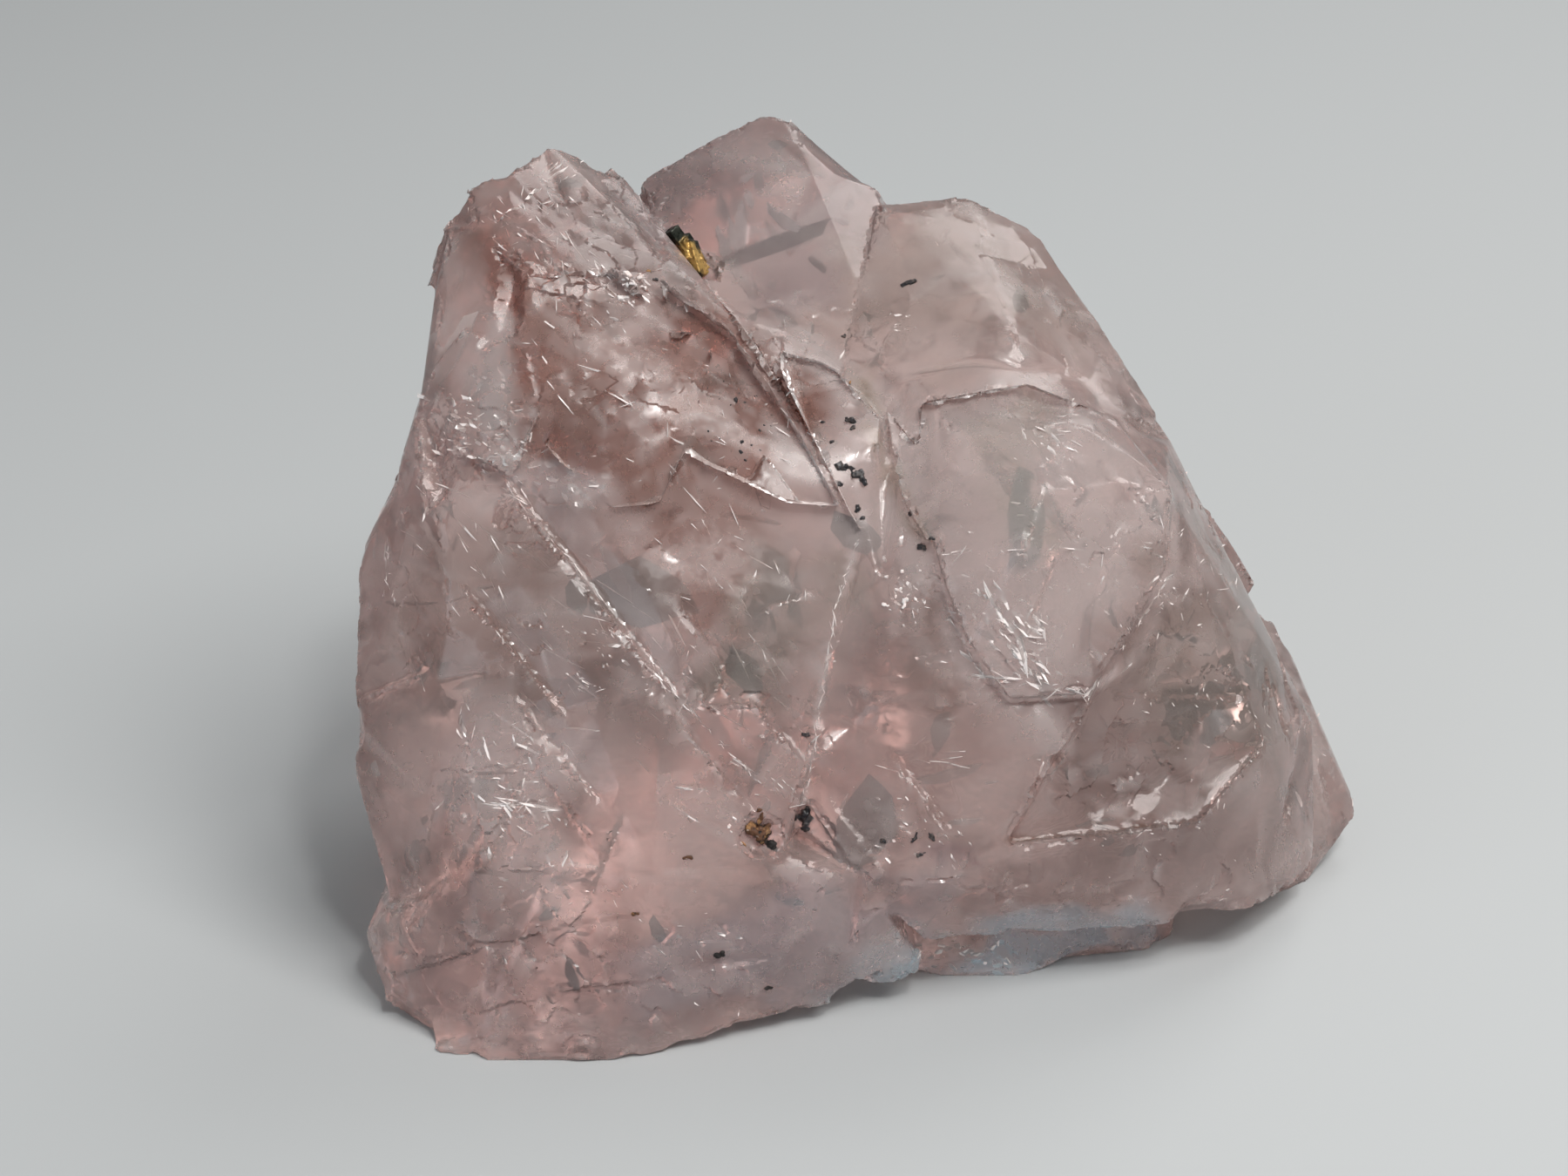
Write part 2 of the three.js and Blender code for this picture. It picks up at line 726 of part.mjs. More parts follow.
// The body: the masses that grew together, their plates and ledges, and then what broke off
function fluoriteBody() {
  const random = makeRandom(SEED);
  const masses = joined([
    leftMass(), skirt(), rightMass(), middle(), backPeak(), upperRightBlock(), footLobe(),
    footLip(), farCorner(), ...rimLobes(random),
  ]);
  const recessed = joined([masses, backBlocks(masses)]).subtract(joined([leftHollow(), windowRecess(), ...backBreaks()]));
  const plated = joined([recessed, shieldPlate(), speckledLedge(), upperPlates(), crestBlocks()]);
  const striated = plated.subtract(joined(striationSteps(plated)));
  const scarred = struck(striated, shellScars(striated, random));
  const stepped = struck(scarred, faceSteps(scarred, random));
  const chipped = struck(stepped, edgeChips(stepped, random));
  return largestPiece(chipped.subtract(floorBlock()));
}

function largestPiece(solid) {
  return solid.decompose().reduce((best, piece) => (piece.volume() > best.volume() ? piece : best));
}

// The grains of other minerals, each by its place in the view
const GRAINS = [
  { name: "golden_sulphide_grain", right: -7.8, up: 16.4, size: [3.0, 1.1, 1.2], turn: -45,
    lift: 0.4, rounded: true, colour: 0x9a6a2c, roughness: 0.35, metalness: 0.9 },
  { name: "rusty_oxide_grain", right: -4.6, up: -12.4, size: [1.9, 1.6, 1.1], turn: 10,
    rounded: true, colour: 0x5a3a24, roughness: 0.85, metalness: 0 },
  { name: "black_grain_lower", right: -2.6, up: -11.4, size: [1.2, 1.0, 0.8], turn: 35,
    colour: 0x1c1b20, roughness: 0.4, metalness: 0.3 },
  { name: "black_grain_middle", right: 0.3, up: 5.8, size: [1.3, 0.9, 0.8], turn: -30,
    colour: 0x1c1b20, roughness: 0.4, metalness: 0.3 },
  { name: "black_grain_upper", right: 0.1, up: 9.0, size: [0.8, 0.7, 0.7], turn: 0,
    rounded: true, colour: 0x202226, roughness: 0.4, metalness: 0.3 },
];

// A grain in place, about half sunk in the face that it grew on
function placedGrain(shape, body, extra) {
  const { point } = surfaceAt(body, shape.right, shape.up);
  point.addScaledVector(TOWARD_VIEWER, shape.lift ?? 0);
  const geometry = grainGeometry(shape, extra);
  geometry.applyMatrix4(new THREE.Matrix4().extractRotation(VIEW_TO_PART));
  geometry.translate(point.x, point.y, point.z);
  return solidOf(geometry);
}

function meshOf(name, solid, material) {
  const geometry = geometryOf(solid).toNonIndexed();
  geometry.computeVertexNormals();
  const mesh = new THREE.Mesh(geometry, material);
  mesh.name = name;
  return mesh;
}

function fluoriteSpecimen() {
  const whole = fluoriteBody();
  const pockets = GRAINS.map((shape) => placedGrain(shape, whole, GRAIN_GAP));
  const body = largestPiece(whole.subtract(joined(pockets)));
  const group = new THREE.Group();
  group.add(meshOf("fluorite_body", body, new THREE.MeshStandardMaterial({
    color: 0xc4a8a2, roughness: 0.25, metalness: 0, flatShading: true,
  })));
  for (const shape of GRAINS) {
    group.add(meshOf(shape.name, placedGrain(shape, whole, 0), new THREE.MeshStandardMaterial({
      color: shape.colour, roughness: shape.roughness, metalness: shape.metalness, flatShading: true,
    })));
  }
  const bounds = new THREE.Box3().setFromObject(group.children[0], true);
  const middle = bounds.getCenter(new THREE.Vector3());
  group.position.set(-middle.x, -middle.y, -bounds.min.z);
  return group;
}

export default fluoriteSpecimen();
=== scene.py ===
"""Fluorite specimen: the looks of a hand-sized cleavage fragment, built around its frame.

The stone is one translucent body with fine cleavage relief, white veils and flakes inside it
and a few small grains of other minerals on its front. Lengths named _mm are in millimetres,
and meshes are in metres.
"""

import json
import logging
import math
import random
from collections.abc import Callable
from dataclasses import dataclass, field
from enum import Enum

import bpy
import numpy as np
from mathutils import Euler, Matrix, Vector
from mathutils.bvhtree import BVHTree

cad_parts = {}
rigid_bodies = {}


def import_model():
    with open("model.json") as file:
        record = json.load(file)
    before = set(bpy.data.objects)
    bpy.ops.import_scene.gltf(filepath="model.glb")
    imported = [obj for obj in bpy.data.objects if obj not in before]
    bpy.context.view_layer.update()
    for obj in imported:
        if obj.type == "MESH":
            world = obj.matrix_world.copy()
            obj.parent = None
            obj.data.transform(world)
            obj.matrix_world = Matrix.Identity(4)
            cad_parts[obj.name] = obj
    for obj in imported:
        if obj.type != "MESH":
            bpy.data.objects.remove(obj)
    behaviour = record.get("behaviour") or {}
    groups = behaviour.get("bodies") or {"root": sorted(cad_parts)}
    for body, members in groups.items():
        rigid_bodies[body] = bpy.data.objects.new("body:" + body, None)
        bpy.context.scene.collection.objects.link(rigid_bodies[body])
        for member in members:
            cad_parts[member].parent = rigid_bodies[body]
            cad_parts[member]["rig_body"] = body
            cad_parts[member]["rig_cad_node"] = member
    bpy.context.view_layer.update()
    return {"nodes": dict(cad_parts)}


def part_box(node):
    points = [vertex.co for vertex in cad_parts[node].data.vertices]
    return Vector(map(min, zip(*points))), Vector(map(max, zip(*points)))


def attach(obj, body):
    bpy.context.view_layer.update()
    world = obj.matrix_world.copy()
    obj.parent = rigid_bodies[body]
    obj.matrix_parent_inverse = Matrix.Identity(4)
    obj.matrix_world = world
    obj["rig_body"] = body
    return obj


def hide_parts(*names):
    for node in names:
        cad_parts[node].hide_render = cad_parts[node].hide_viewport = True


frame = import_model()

log = logging.getLogger("fluorite_specimen")
MM = 0.001
IMAGE_WIDTH = 1800
CLEAVAGE_TURNS_DEG = (37.0, 157.0, -83.0)
STREAK_DEPTH_MM = 14.0
PROBE = Vector((0.0137, 0.0291, 1.0)).normalized()
PROBE_STEP_MM = 1e-4

Colour = tuple[float, float, float]
Limits = tuple[float, float]
Layer = tuple[float, int, float]


@dataclass(frozen=True)
class Sight:
    """The photograph's line of sight, and places given as they are seen along it."""

    lean_deg: float = 25.0
    distance_mm: float = 185.0
    middle_mm: tuple[float, float, float] = (-1.09, -11.86, 21.3)
    lens_mm: float = 85.0
    sensor_mm: float = 36.0
    middle_pixel: float = 980.0

    def toward(self) -> Vector:
        """The direction from the stone to the viewer."""
        lean = math.radians(self.lean_deg)
        return Vector((0.0, -math.cos(lean), math.sin(lean)))

    def upward(self) -> Vector:
        """The direction that is up in the picture."""
        lean = math.radians(self.lean_deg)
        return Vector((0.0, math.sin(lean), math.cos(lean)))

    def place(self, right: float, up: float, toward: float = 0.0) -> Vector:
        """Find a point in the stone's frame.

        Args:
            right: Millimetres to the right in the picture, at the middle's distance.
            up: Millimetres up in the picture.
            toward: Millimetres from the middle toward the viewer.

        Returns:
            The point in millimetres.
        """
        spread = 1.0 - toward / self.distance_mm
        across = Vector((right * spread, 0.0, 0.0))
        return Vector(self.middle_mm) + across + self.upward() * (up * spread) + self.toward() * toward

    def eye(self) -> Vector:
        """The viewer's place in millimetres."""
        return Vector(self.middle_mm) + self.toward() * self.distance_mm

    def shown(self, points: np.ndarray) -> tuple[np.ndarray, np.ndarray, np.ndarray]:
        """Find where points show in the picture, the reverse of place.

        Args:
            points: Rows of millimetres in the stone's frame.

        Returns:
            Millimetres to the right, up, and toward the viewer.
        """
        offset = points - np.array(self.middle_mm)
        toward = offset @ np.array(self.toward())
        spread = 1.0 - toward / self.distance_mm
        return offset[:, 0] / spread, offset @ np.array(self.upward()) / spread, toward


SIGHT = Sight()


def cleavage_normals() -> np.ndarray:
    """Give the normals of the four cleavage planes, one of which faces the viewer.

    Returns:
        Four rows of three numbers.
    """
    octahedral = math.acos(1.0 / 3.0)
    right, up, toward = Vector((1.0, 0.0, 0.0)), SIGHT.upward(), SIGHT.toward()
    normals = [toward]
    for turn_deg in CLEAVAGE_TURNS_DEG:
        turn = math.radians(turn_deg)
        flat = right * math.cos(turn) + up * math.sin(turn)
        normals.append(flat * math.sin(octahedral) + toward * math.cos(octahedral))
    return np.array([tuple(normal) for normal in normals])


CLEAVAGE = cleavage_normals()


def lattice_random(cells: np.ndarray, seed: int) -> np.ndarray:
    """Give repeatable random numbers for rows of whole numbers.

    Args:
        cells: One row for each number wanted.
        seed: A whole number that picks the series.

    Returns:
        Numbers from 0 to 1.
    """
    mixed = np.full(len(cells), seed * 7919 + 17, np.uint32)
    for column in cells.T.astype(np.int64):
        mixed = (mixed ^ (column & 0xFFFFFFFF).astype(np.uint32)) * np.uint32(0x9E3779B1)
        mixed ^= mixed >> np.uint32(15)
        mixed *= np.uint32(0x85EBCA77)
        mixed ^= mixed >> np.uint32(13)
    return mixed / 4294967296.0


def soft_noise(points: np.ndarray, scale: float, seed: int) -> np.ndarray:
    """Give smooth noise: random values at the corners of cubes, blended between them.

    Args:
        points: Places, in any unit.
        scale: The cubes' side, in the same unit.
        seed: A whole number that picks the pattern.

    Returns:
        Numbers from 0 to 1, one for each point.
    """
    scaled = points / scale
    base = np.floor(scaled)
    part = scaled - base
    part = part * part * (3.0 - 2.0 * part)
    total = np.zeros(len(points))
    for corner in np.ndindex(2, 2, 2):
        weight = np.prod(np.where(corner, part, 1.0 - part), axis=1)
        total += weight * lattice_random(base + corner, seed)
    return total


def layered_noise(points: np.ndarray, layers: tuple[Layer, ...]) -> np.ndarray:
    """Add up layers of smooth noise, each given by its scale, seed and share."""
    return sum(share * soft_noise(points, scale, seed) for scale, seed, share in layers)


def noise_vectors(points: np.ndarray, scale: float, seeds: tuple[int, ...]) -> np.ndarray:
    """Give one smooth noise for each seed, side by side, from -0.5 to 0.5."""
    return np.stack([soft_noise(points, scale, seed) for seed in seeds], axis=1) - 0.5


def smooth_step(value: np.ndarray, low: float, high: float) -> np.ndarray:
    """Rise smoothly from 0 at low to 1 at high."""
    part = np.clip((value - low) / (high - low), 0.0, 1.0)
    return part * part * (3.0 - 2.0 * part)


def between(limits: Limits, share: float | np.ndarray) -> float | np.ndarray:
    """Give the value at a share of the way from the first limit to the second."""
    return limits[0] + share * (limits[1] - limits[0])


def random_vector(rng: random.Random, spread: float) -> Vector:
    """Draw a vector whose three parts are spread around 0."""
    return Vector([rng.gauss(0.0, spread) for _ in range(3)])


def mix_rows(colours: np.ndarray, tint: Colour, share: np.ndarray) -> None:
    """Move each row of colours toward a tint by its share, in place."""
    colours += (np.array(tint) - colours) * share[:, None]


def activate(piece: bpy.types.Object) -> None:
    """Make one object the only selected and the active one."""
    bpy.ops.object.select_all(action="DESELECT")
    piece.select_set(True)
    bpy.context.view_layer.objects.active = piece


def apply_modifier(piece: bpy.types.Object, kind: str, **values: object) -> None:
    """Add a modifier to a piece, set it and apply it.

    Args:
        piece: The mesh object.
        kind: The modifier's type.
        **values: Its settings.
    """
    activate(piece)
    modifier = piece.modifiers.new(kind.lower(), kind)
    for name, value in values.items():
        setattr(modifier, name, value)
    bpy.ops.object.modifier_apply(modifier=modifier.name)


def edit_all(piece: bpy.types.Object, operator: Callable, **settings: object) -> None:
    """Run one edit-mode operator on the whole of a piece."""
    activate(piece)
    bpy.ops.object.mode_set(mode="EDIT")
    bpy.ops.mesh.select_all(action="SELECT")
    operator(**settings)
    bpy.ops.object.mode_set(mode="OBJECT")


def joined_primitives(name: str, operator: Callable, places: list[dict]) -> bpy.types.Object:
    """Add a primitive many times, all in one mesh.

    Args:
        name: The piece's name.
        operator: The operator that adds the primitive.
        places: The operator's settings, one set for each copy.

    Returns:
        The object, with its origin at the stone's.
    """
    bpy.ops.object.select_all(action="DESELECT")
    operator(**places[0])
    piece = bpy.context.active_object
    piece.name = piece.data.name = name
    bpy.ops.object.transform_apply(location=True, rotation=True, scale=True)
    bpy.ops.object.mode_set(mode="EDIT")
    for place in places[1:]:
        operator(**place)
    bpy.ops.object.mode_set(mode="OBJECT")
    return piece


def node_middle(node: str) -> Vector:
    """Give the middle of one of the frame's nodes, in millimetres."""
    low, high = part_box(node)
    return (Vector(low) + Vector(high)) / (2.0 * MM)


def vertex_array(mesh: bpy.types.Mesh, key: str = "co") -> np.ndarray:
    """Read a mesh's vertex places, or its normals with the key normal, as rows."""
    values = np.zeros(len(mesh.vertices) * 3)
    mesh.vertices.foreach_get(key, values)
    return values.reshape(-1, 3)


def store_attribute(mesh: bpy.types.Mesh, name: str, values: np.ndarray) -> None:
    """Keep one number for each vertex in a named attribute."""
    attribute = mesh.attributes.new(name, "FLOAT", "POINT")
    attribute.data.foreach_set("value", values.astype(np.float32))


def store_colour(mesh: bpy.types.Mesh, name: str, colours: np.ndarray) -> None:
    """Keep one colour for each vertex in a named attribute."""
    attribute = mesh.attributes.new(name, "FLOAT_COLOR", "POINT")
    rows = np.concatenate([np.clip(colours, 0.0, 1.0), np.ones((len(colours), 1))], axis=1)
    attribute.data.foreach_set("color", rows.astype(np.float32).ravel())


def convexity(mesh: bpy.types.Mesh, passes: int) -> np.ndarray:
    """Measure how far each vertex stands out from the ones around it.

    Args:
        mesh: The mesh.
        passes: How often the measure is spread to the neighbours.

    Returns:
        Millimetres: above 0 on ridges and corners, below 0 in hollows.
    """
    points = vertex_array(mesh) / MM
    normals = vertex_array(mesh, "normal")
    edges = np.zeros(len(mesh.edges) * 2, np.int64)
    mesh.edges.foreach_get("vertices", edges)
    edges = edges.reshape(-1, 2)
    count = np.maximum(np.bincount(edges.ravel(), minlength=len(points)), 1)

    def neighbour_mean(values: np.ndarray) -> np.ndarray:
        """Average a value over each vertex's neighbours."""
        total = np.bincount(edges[:, 0], values[edges[:, 1]], len(points))
        total += np.bincount(edges[:, 1], values[edges[:, 0]], len(points))
        return total / count

    mean = np.stack([neighbour_mean(points[:, axis]) for axis in range(3)], axis=1)
    out = ((points - mean) * normals).sum(axis=1)
    for _ in range(passes):
        out = 0.5 * out + 0.5 * neighbour_mean(out)
    return out


class Tree:
    """A short way to write a material's node tree."""

    def __init__(self, name: str) -> None:
        """Start a material with nothing in its tree but an output.

        Args:
            name: The material's name.
        """
        self.material = bpy.data.materials.new(name)
        self.material.use_nodes = True
        self.nodes = self.material.node_tree.nodes
        self.nodes.clear()
        self.output = self.nodes.new("ShaderNodeOutputMaterial")
        self.place = self.add("ShaderNodeTexCoord").outputs["Object"]

    def add(self, kind: str, inputs: dict | None = None, **settings: object) -> bpy.types.Node:
        """Add a node.

        Args:
            kind: The node's type.
            inputs: Values or sockets, by the input's name or number.
            **settings: The node's own settings.

        Returns:
            The node.
        """
        node = self.nodes.new(kind)
        for name, value in settings.items():
            setattr(node, name, value)
        for key, value in (inputs or {}).items():
            if isinstance(value, bpy.types.NodeSocket):
                self.material.node_tree.links.new(value, node.inputs[key])
            else:
                node.inputs[key].default_value = value
        return node

    def math(self, operation: str, *values: object) -> bpy.types.NodeSocket:
        """Add a Math node on sockets or numbers and give its result."""
        return self.add("ShaderNodeMath", dict(enumerate(values)), operation=operation).outputs[0]

    def along(self, node: str, axis: Vector) -> bpy.types.NodeSocket:
        """Measure how far a place is from the middle of a frame's node along an axis, in metres."""
        inputs = {0: self.place, 1: node_middle(node) * MM}
        offset = self.add("ShaderNodeVectorMath", inputs, operation="SUBTRACT").outputs[0]
        inputs = {0: offset, 1: axis.normalized()}
        return self.add("ShaderNodeVectorMath", inputs, operation="DOT_PRODUCT").outputs["Value"]

    def uneven(self, value: bpy.types.NodeSocket, noise: bpy.types.NodeSocket,
               reach: float) -> bpy.types.NodeSocket:
        """Shift a value up and down by a noise."""
        return self.math("ADD", value, self.math("MULTIPLY", self.math("SUBTRACT", noise, 0.5), reach))

    def ramp(self, value: bpy.types.NodeSocket, low: float, high: float,
             start: float = 0.0, end: float = 1.0) -> bpy.types.NodeSocket:
        """Map a value smoothly from low and high to start and end."""
        inputs = {"Value": value, "From Min": low, "From Max": high, "To Min": start, "To Max": end}
        return self.add("ShaderNodeMapRange", inputs, interpolation_type="SMOOTHSTEP").outputs[0]

    def noise(self, scale: float, detail: float = 3.0, roughness: float = 0.55) -> bpy.types.NodeSocket:
        """Add a noise texture on the object's own places, scale in cells a metre."""
        inputs = {"Vector": self.place, "Scale": scale, "Detail": detail, "Roughness": roughness}
        return self.add("ShaderNodeTexNoise", inputs).outputs["Fac"]

    def bump(self, height: bpy.types.NodeSocket, strength: float, distance_mm: float) -> bpy.types.NodeSocket:
        """Add a Bump node and give its normal."""
        inputs = {"Strength": strength, "Distance": distance_mm * MM, "Height": height}
        return self.add("ShaderNodeBump", inputs).outputs[0]

    def blend(self, amount: object, first: object, second: object) -> bpy.types.NodeSocket:
        """Mix two colours by an amount from 0 to 1."""
        node = self.add("ShaderNodeMix", data_type="RGBA", blend_type="MIX")
        for key, value in ((0, amount), (6, first), (7, second)):
            if isinstance(value, bpy.types.NodeSocket):
                self.material.node_tree.links.new(value, node.inputs[key])
            else:
                node.inputs[key].default_value = value if key == 0 else (*value, 1.0)
        return node.outputs[2]

    def finish(self, surface: bpy.types.Node, volume: bpy.types.Node | None = None) -> bpy.types.Material:
        """Join the shaders to the output and give the material."""
        links = self.material.node_tree.links
        links.new(surface.outputs[0], self.output.inputs["Surface"])
        if volume is not None:
            links.new(volume.outputs[0], self.output.inputs["Volume"])
        return self.material


@dataclass(frozen=True)
class Zone:
    """A soft-edged part of the stone with a tint and a haze, placed as it is seen; the bluish tints on the
    lip are a painted reflection.
    """

    right: float
    up: float
    toward: float
    reach_mm: tuple[float, float, float]
    tint: Colour = (1.0, 1.0, 1.0)
    strength: float = 1.0
    turn_deg: float = 0.0
    haze: float = 0.0
    edge: Limits = (0.25, 1.3)

    def share(self, points: np.ndarray) -> np.ndarray:
        """Tell how far points in millimetres lie inside the zone, from 0 to 1."""
        turn = math.radians(self.turn_deg)
        right, up = Vector((1.0, 0.0, 0.0)), SIGHT.upward()
        axes = (right * math.cos(turn) + up * math.sin(turn),
                up * math.cos(turn) - right * math.sin(turn), SIGHT.toward())
        offset = points - np.array(SIGHT.place(self.right, self.up, self.toward))
        total = np.zeros(len(points))
        for axis, reach in zip(axes, self.reach_mm):
            total += (offset @ np.array(axis) / reach) ** 2
        return self.strength * (1.0 - smooth_step(total, *self.edge))


class SeamLook(Enum):
    """What a line on the face looks like: its tint and how dull it is; the bright look is a painted highlight
    on a partly real white edge, the dark look painted shade.
    """

    # Painted highlight along rims and creases, on edges that are partly really white: a whitish tint with
    # more haze.
    BRIGHT = ((1.0, 0.93, 0.91), 0.5)
    # Painted shade: a dark tint in the grooves at the foot of the shield's rim.
    DARK = ((0.34, 0.28, 0.26), -0.1)
    RUSTY = ((0.30, 0.19, 0.14), 0.2)
    GREENISH = ((0.70, 0.64, 0.50), 0.0)


@dataclass(frozen=True)
class Seam:
    """A line on the front where parts of the stone meet, placed as it is seen; bright lines are a painted
    highlight on a partly real white edge, dark lines painted shade in a groove.
    """

    look: SeamLook
    width_mm: float
    strength: float
    points: tuple[tuple[float, float], ...]
    rise_mm: float = 0.0
    back_mm: float = -20.0
    core: float = 0.25
    facing: Limits = (0.0, 0.3)
    break_mm: float = 0.9
    break_seed: int = 47
    break_edge: Limits = (0.3, 0.6)
    faintest: float = 0.25

    def share(self, points: np.ndarray, normals: np.ndarray) -> np.ndarray:
        """Tell how far points in millimetres lie on the line, from 0 to 1."""
        right, up, toward = SIGHT.shown(points)
        nearest = np.full(len(points), np.inf)
        for (start_right, start_up), (end_right, end_up) in zip(self.points, self.points[1:]):
            run, climb = end_right - start_right, end_up - start_up
            part = ((right - start_right) * run + (up - start_up) * climb) / (run * run + climb * climb)
            part = np.clip(part, 0.0, 1.0)
            nearest = np.minimum(nearest, np.hypot(right - start_right - part * run,
                                                   up - start_up - part * climb))
        near = 1.0 - smooth_step(nearest, self.core * self.width_mm, self.width_mm)
        near *= smooth_step(normals @ np.array(SIGHT.toward()), *self.facing) * (toward > self.back_mm)
        on_line = near > 0.0
        broken = smooth_step(soft_noise(points[on_line], self.break_mm, self.break_seed), *self.break_edge)
        near[on_line] *= between((self.faintest, 1.0), broken)
        return self.strength * near


# Bright lines paint the highlight along rims and creases; dark lines paint the shade in the grooves under the
# shield's rim.
SEAMS = (
    Seam(SeamLook.RUSTY, 0.3, 0.6, ((0.2, 10.7), (0.6, 9.6))),
    Seam(SeamLook.GREENISH, 0.9, 0.5, ((0.2, 10.7), (0.6, 9.6), (1.1, 7.6), (2.2, 5.0), (3.5, 2.4))),
    Seam(SeamLook.BRIGHT, 0.6, 0.5, ((1.5, 10.2), (2.8, 6.7), (3.9, 2.8))),
    Seam(SeamLook.BRIGHT, 0.24, 1.0, ((0.2, 2.4), (-0.9, -1.1), (-1.3, -3.7), (-1.8, -6.7), (-2.4, -10.9))),
    # Painted shade in the groove along the shield's right rim.
    Seam(SeamLook.DARK, 0.5, 0.6, ((12.2, -5.8), (14.5, -4.1), (16.5, 0.6), (16.3, 4.3)), -0.08),
    Seam(SeamLook.BRIGHT, 0.3, 1.0, ((4.1, 2.2), (4.6, -0.7), (5.7, -2.8), (7.6, -5.4), (11.7, -5.3),
                                     (13.9, -3.7), (15.9, 0.7), (15.8, 4.1))),
    Seam(SeamLook.BRIGHT, 0.18, 0.6, ((5.0, 2.0), (12.2, 1.9))),
    # Painted shade in the groove under the shield's lower rim.
    Seam(SeamLook.DARK, 0.2, 0.8, ((7.6, -5.8), (11.5, -5.6)), -0.05),
    Seam(SeamLook.RUSTY, 0.2, 0.8, ((7.4, -12.6), (15.9, -11.7)), -0.05),
    Seam(SeamLook.BRIGHT, 0.2, 0.4, ((7.6, -5.5), (9.9, -9.0), (8.9, -10.8), (6.9, -12.4),
                                     (4.1, -12.2), (-1.0, -10.3))),
    Seam(SeamLook.BRIGHT, 0.24, 0.6, ((-17.4, 5.0), (-12.2, -1.1), (-8.3, -5.4), (-5.7, -8.9),
                                      (-2.2, -10.9))),
    Seam(SeamLook.BRIGHT, 0.24, 0.7, ((-4.3, 10.2), (-1.3, 5.7), (0.2, 2.7))),
    Seam(SeamLook.BRIGHT, 0.2, 0.8, ((-21.5, 8.7), (-19.6, 7.6), (-17.6, 5.9), (-16.5, 6.7), (-16.0, 8.9))),
    Seam(SeamLook.BRIGHT, 0.2, 0.6, ((-16.2, 5.7), (-13.6, 4.3), (-12.3, 5.2), (-12.5, 7.0))),
    Seam(SeamLook.BRIGHT, 0.2, 0.8, ((-18.0, 20.8), (-16.2, 18.7), (-13.3, 13.3), (-13.2, 15.9))),
    Seam(SeamLook.BRIGHT, 0.2, 0.8, ((-12.3, 16.1), (-11.0, 14.0), (-12.3, 13.8))),
    Seam(SeamLook.BRIGHT, 0.2, 0.4, ((-12.5, 8.3), (-8.0, 8.6), (-5.0, 7.5))),
)


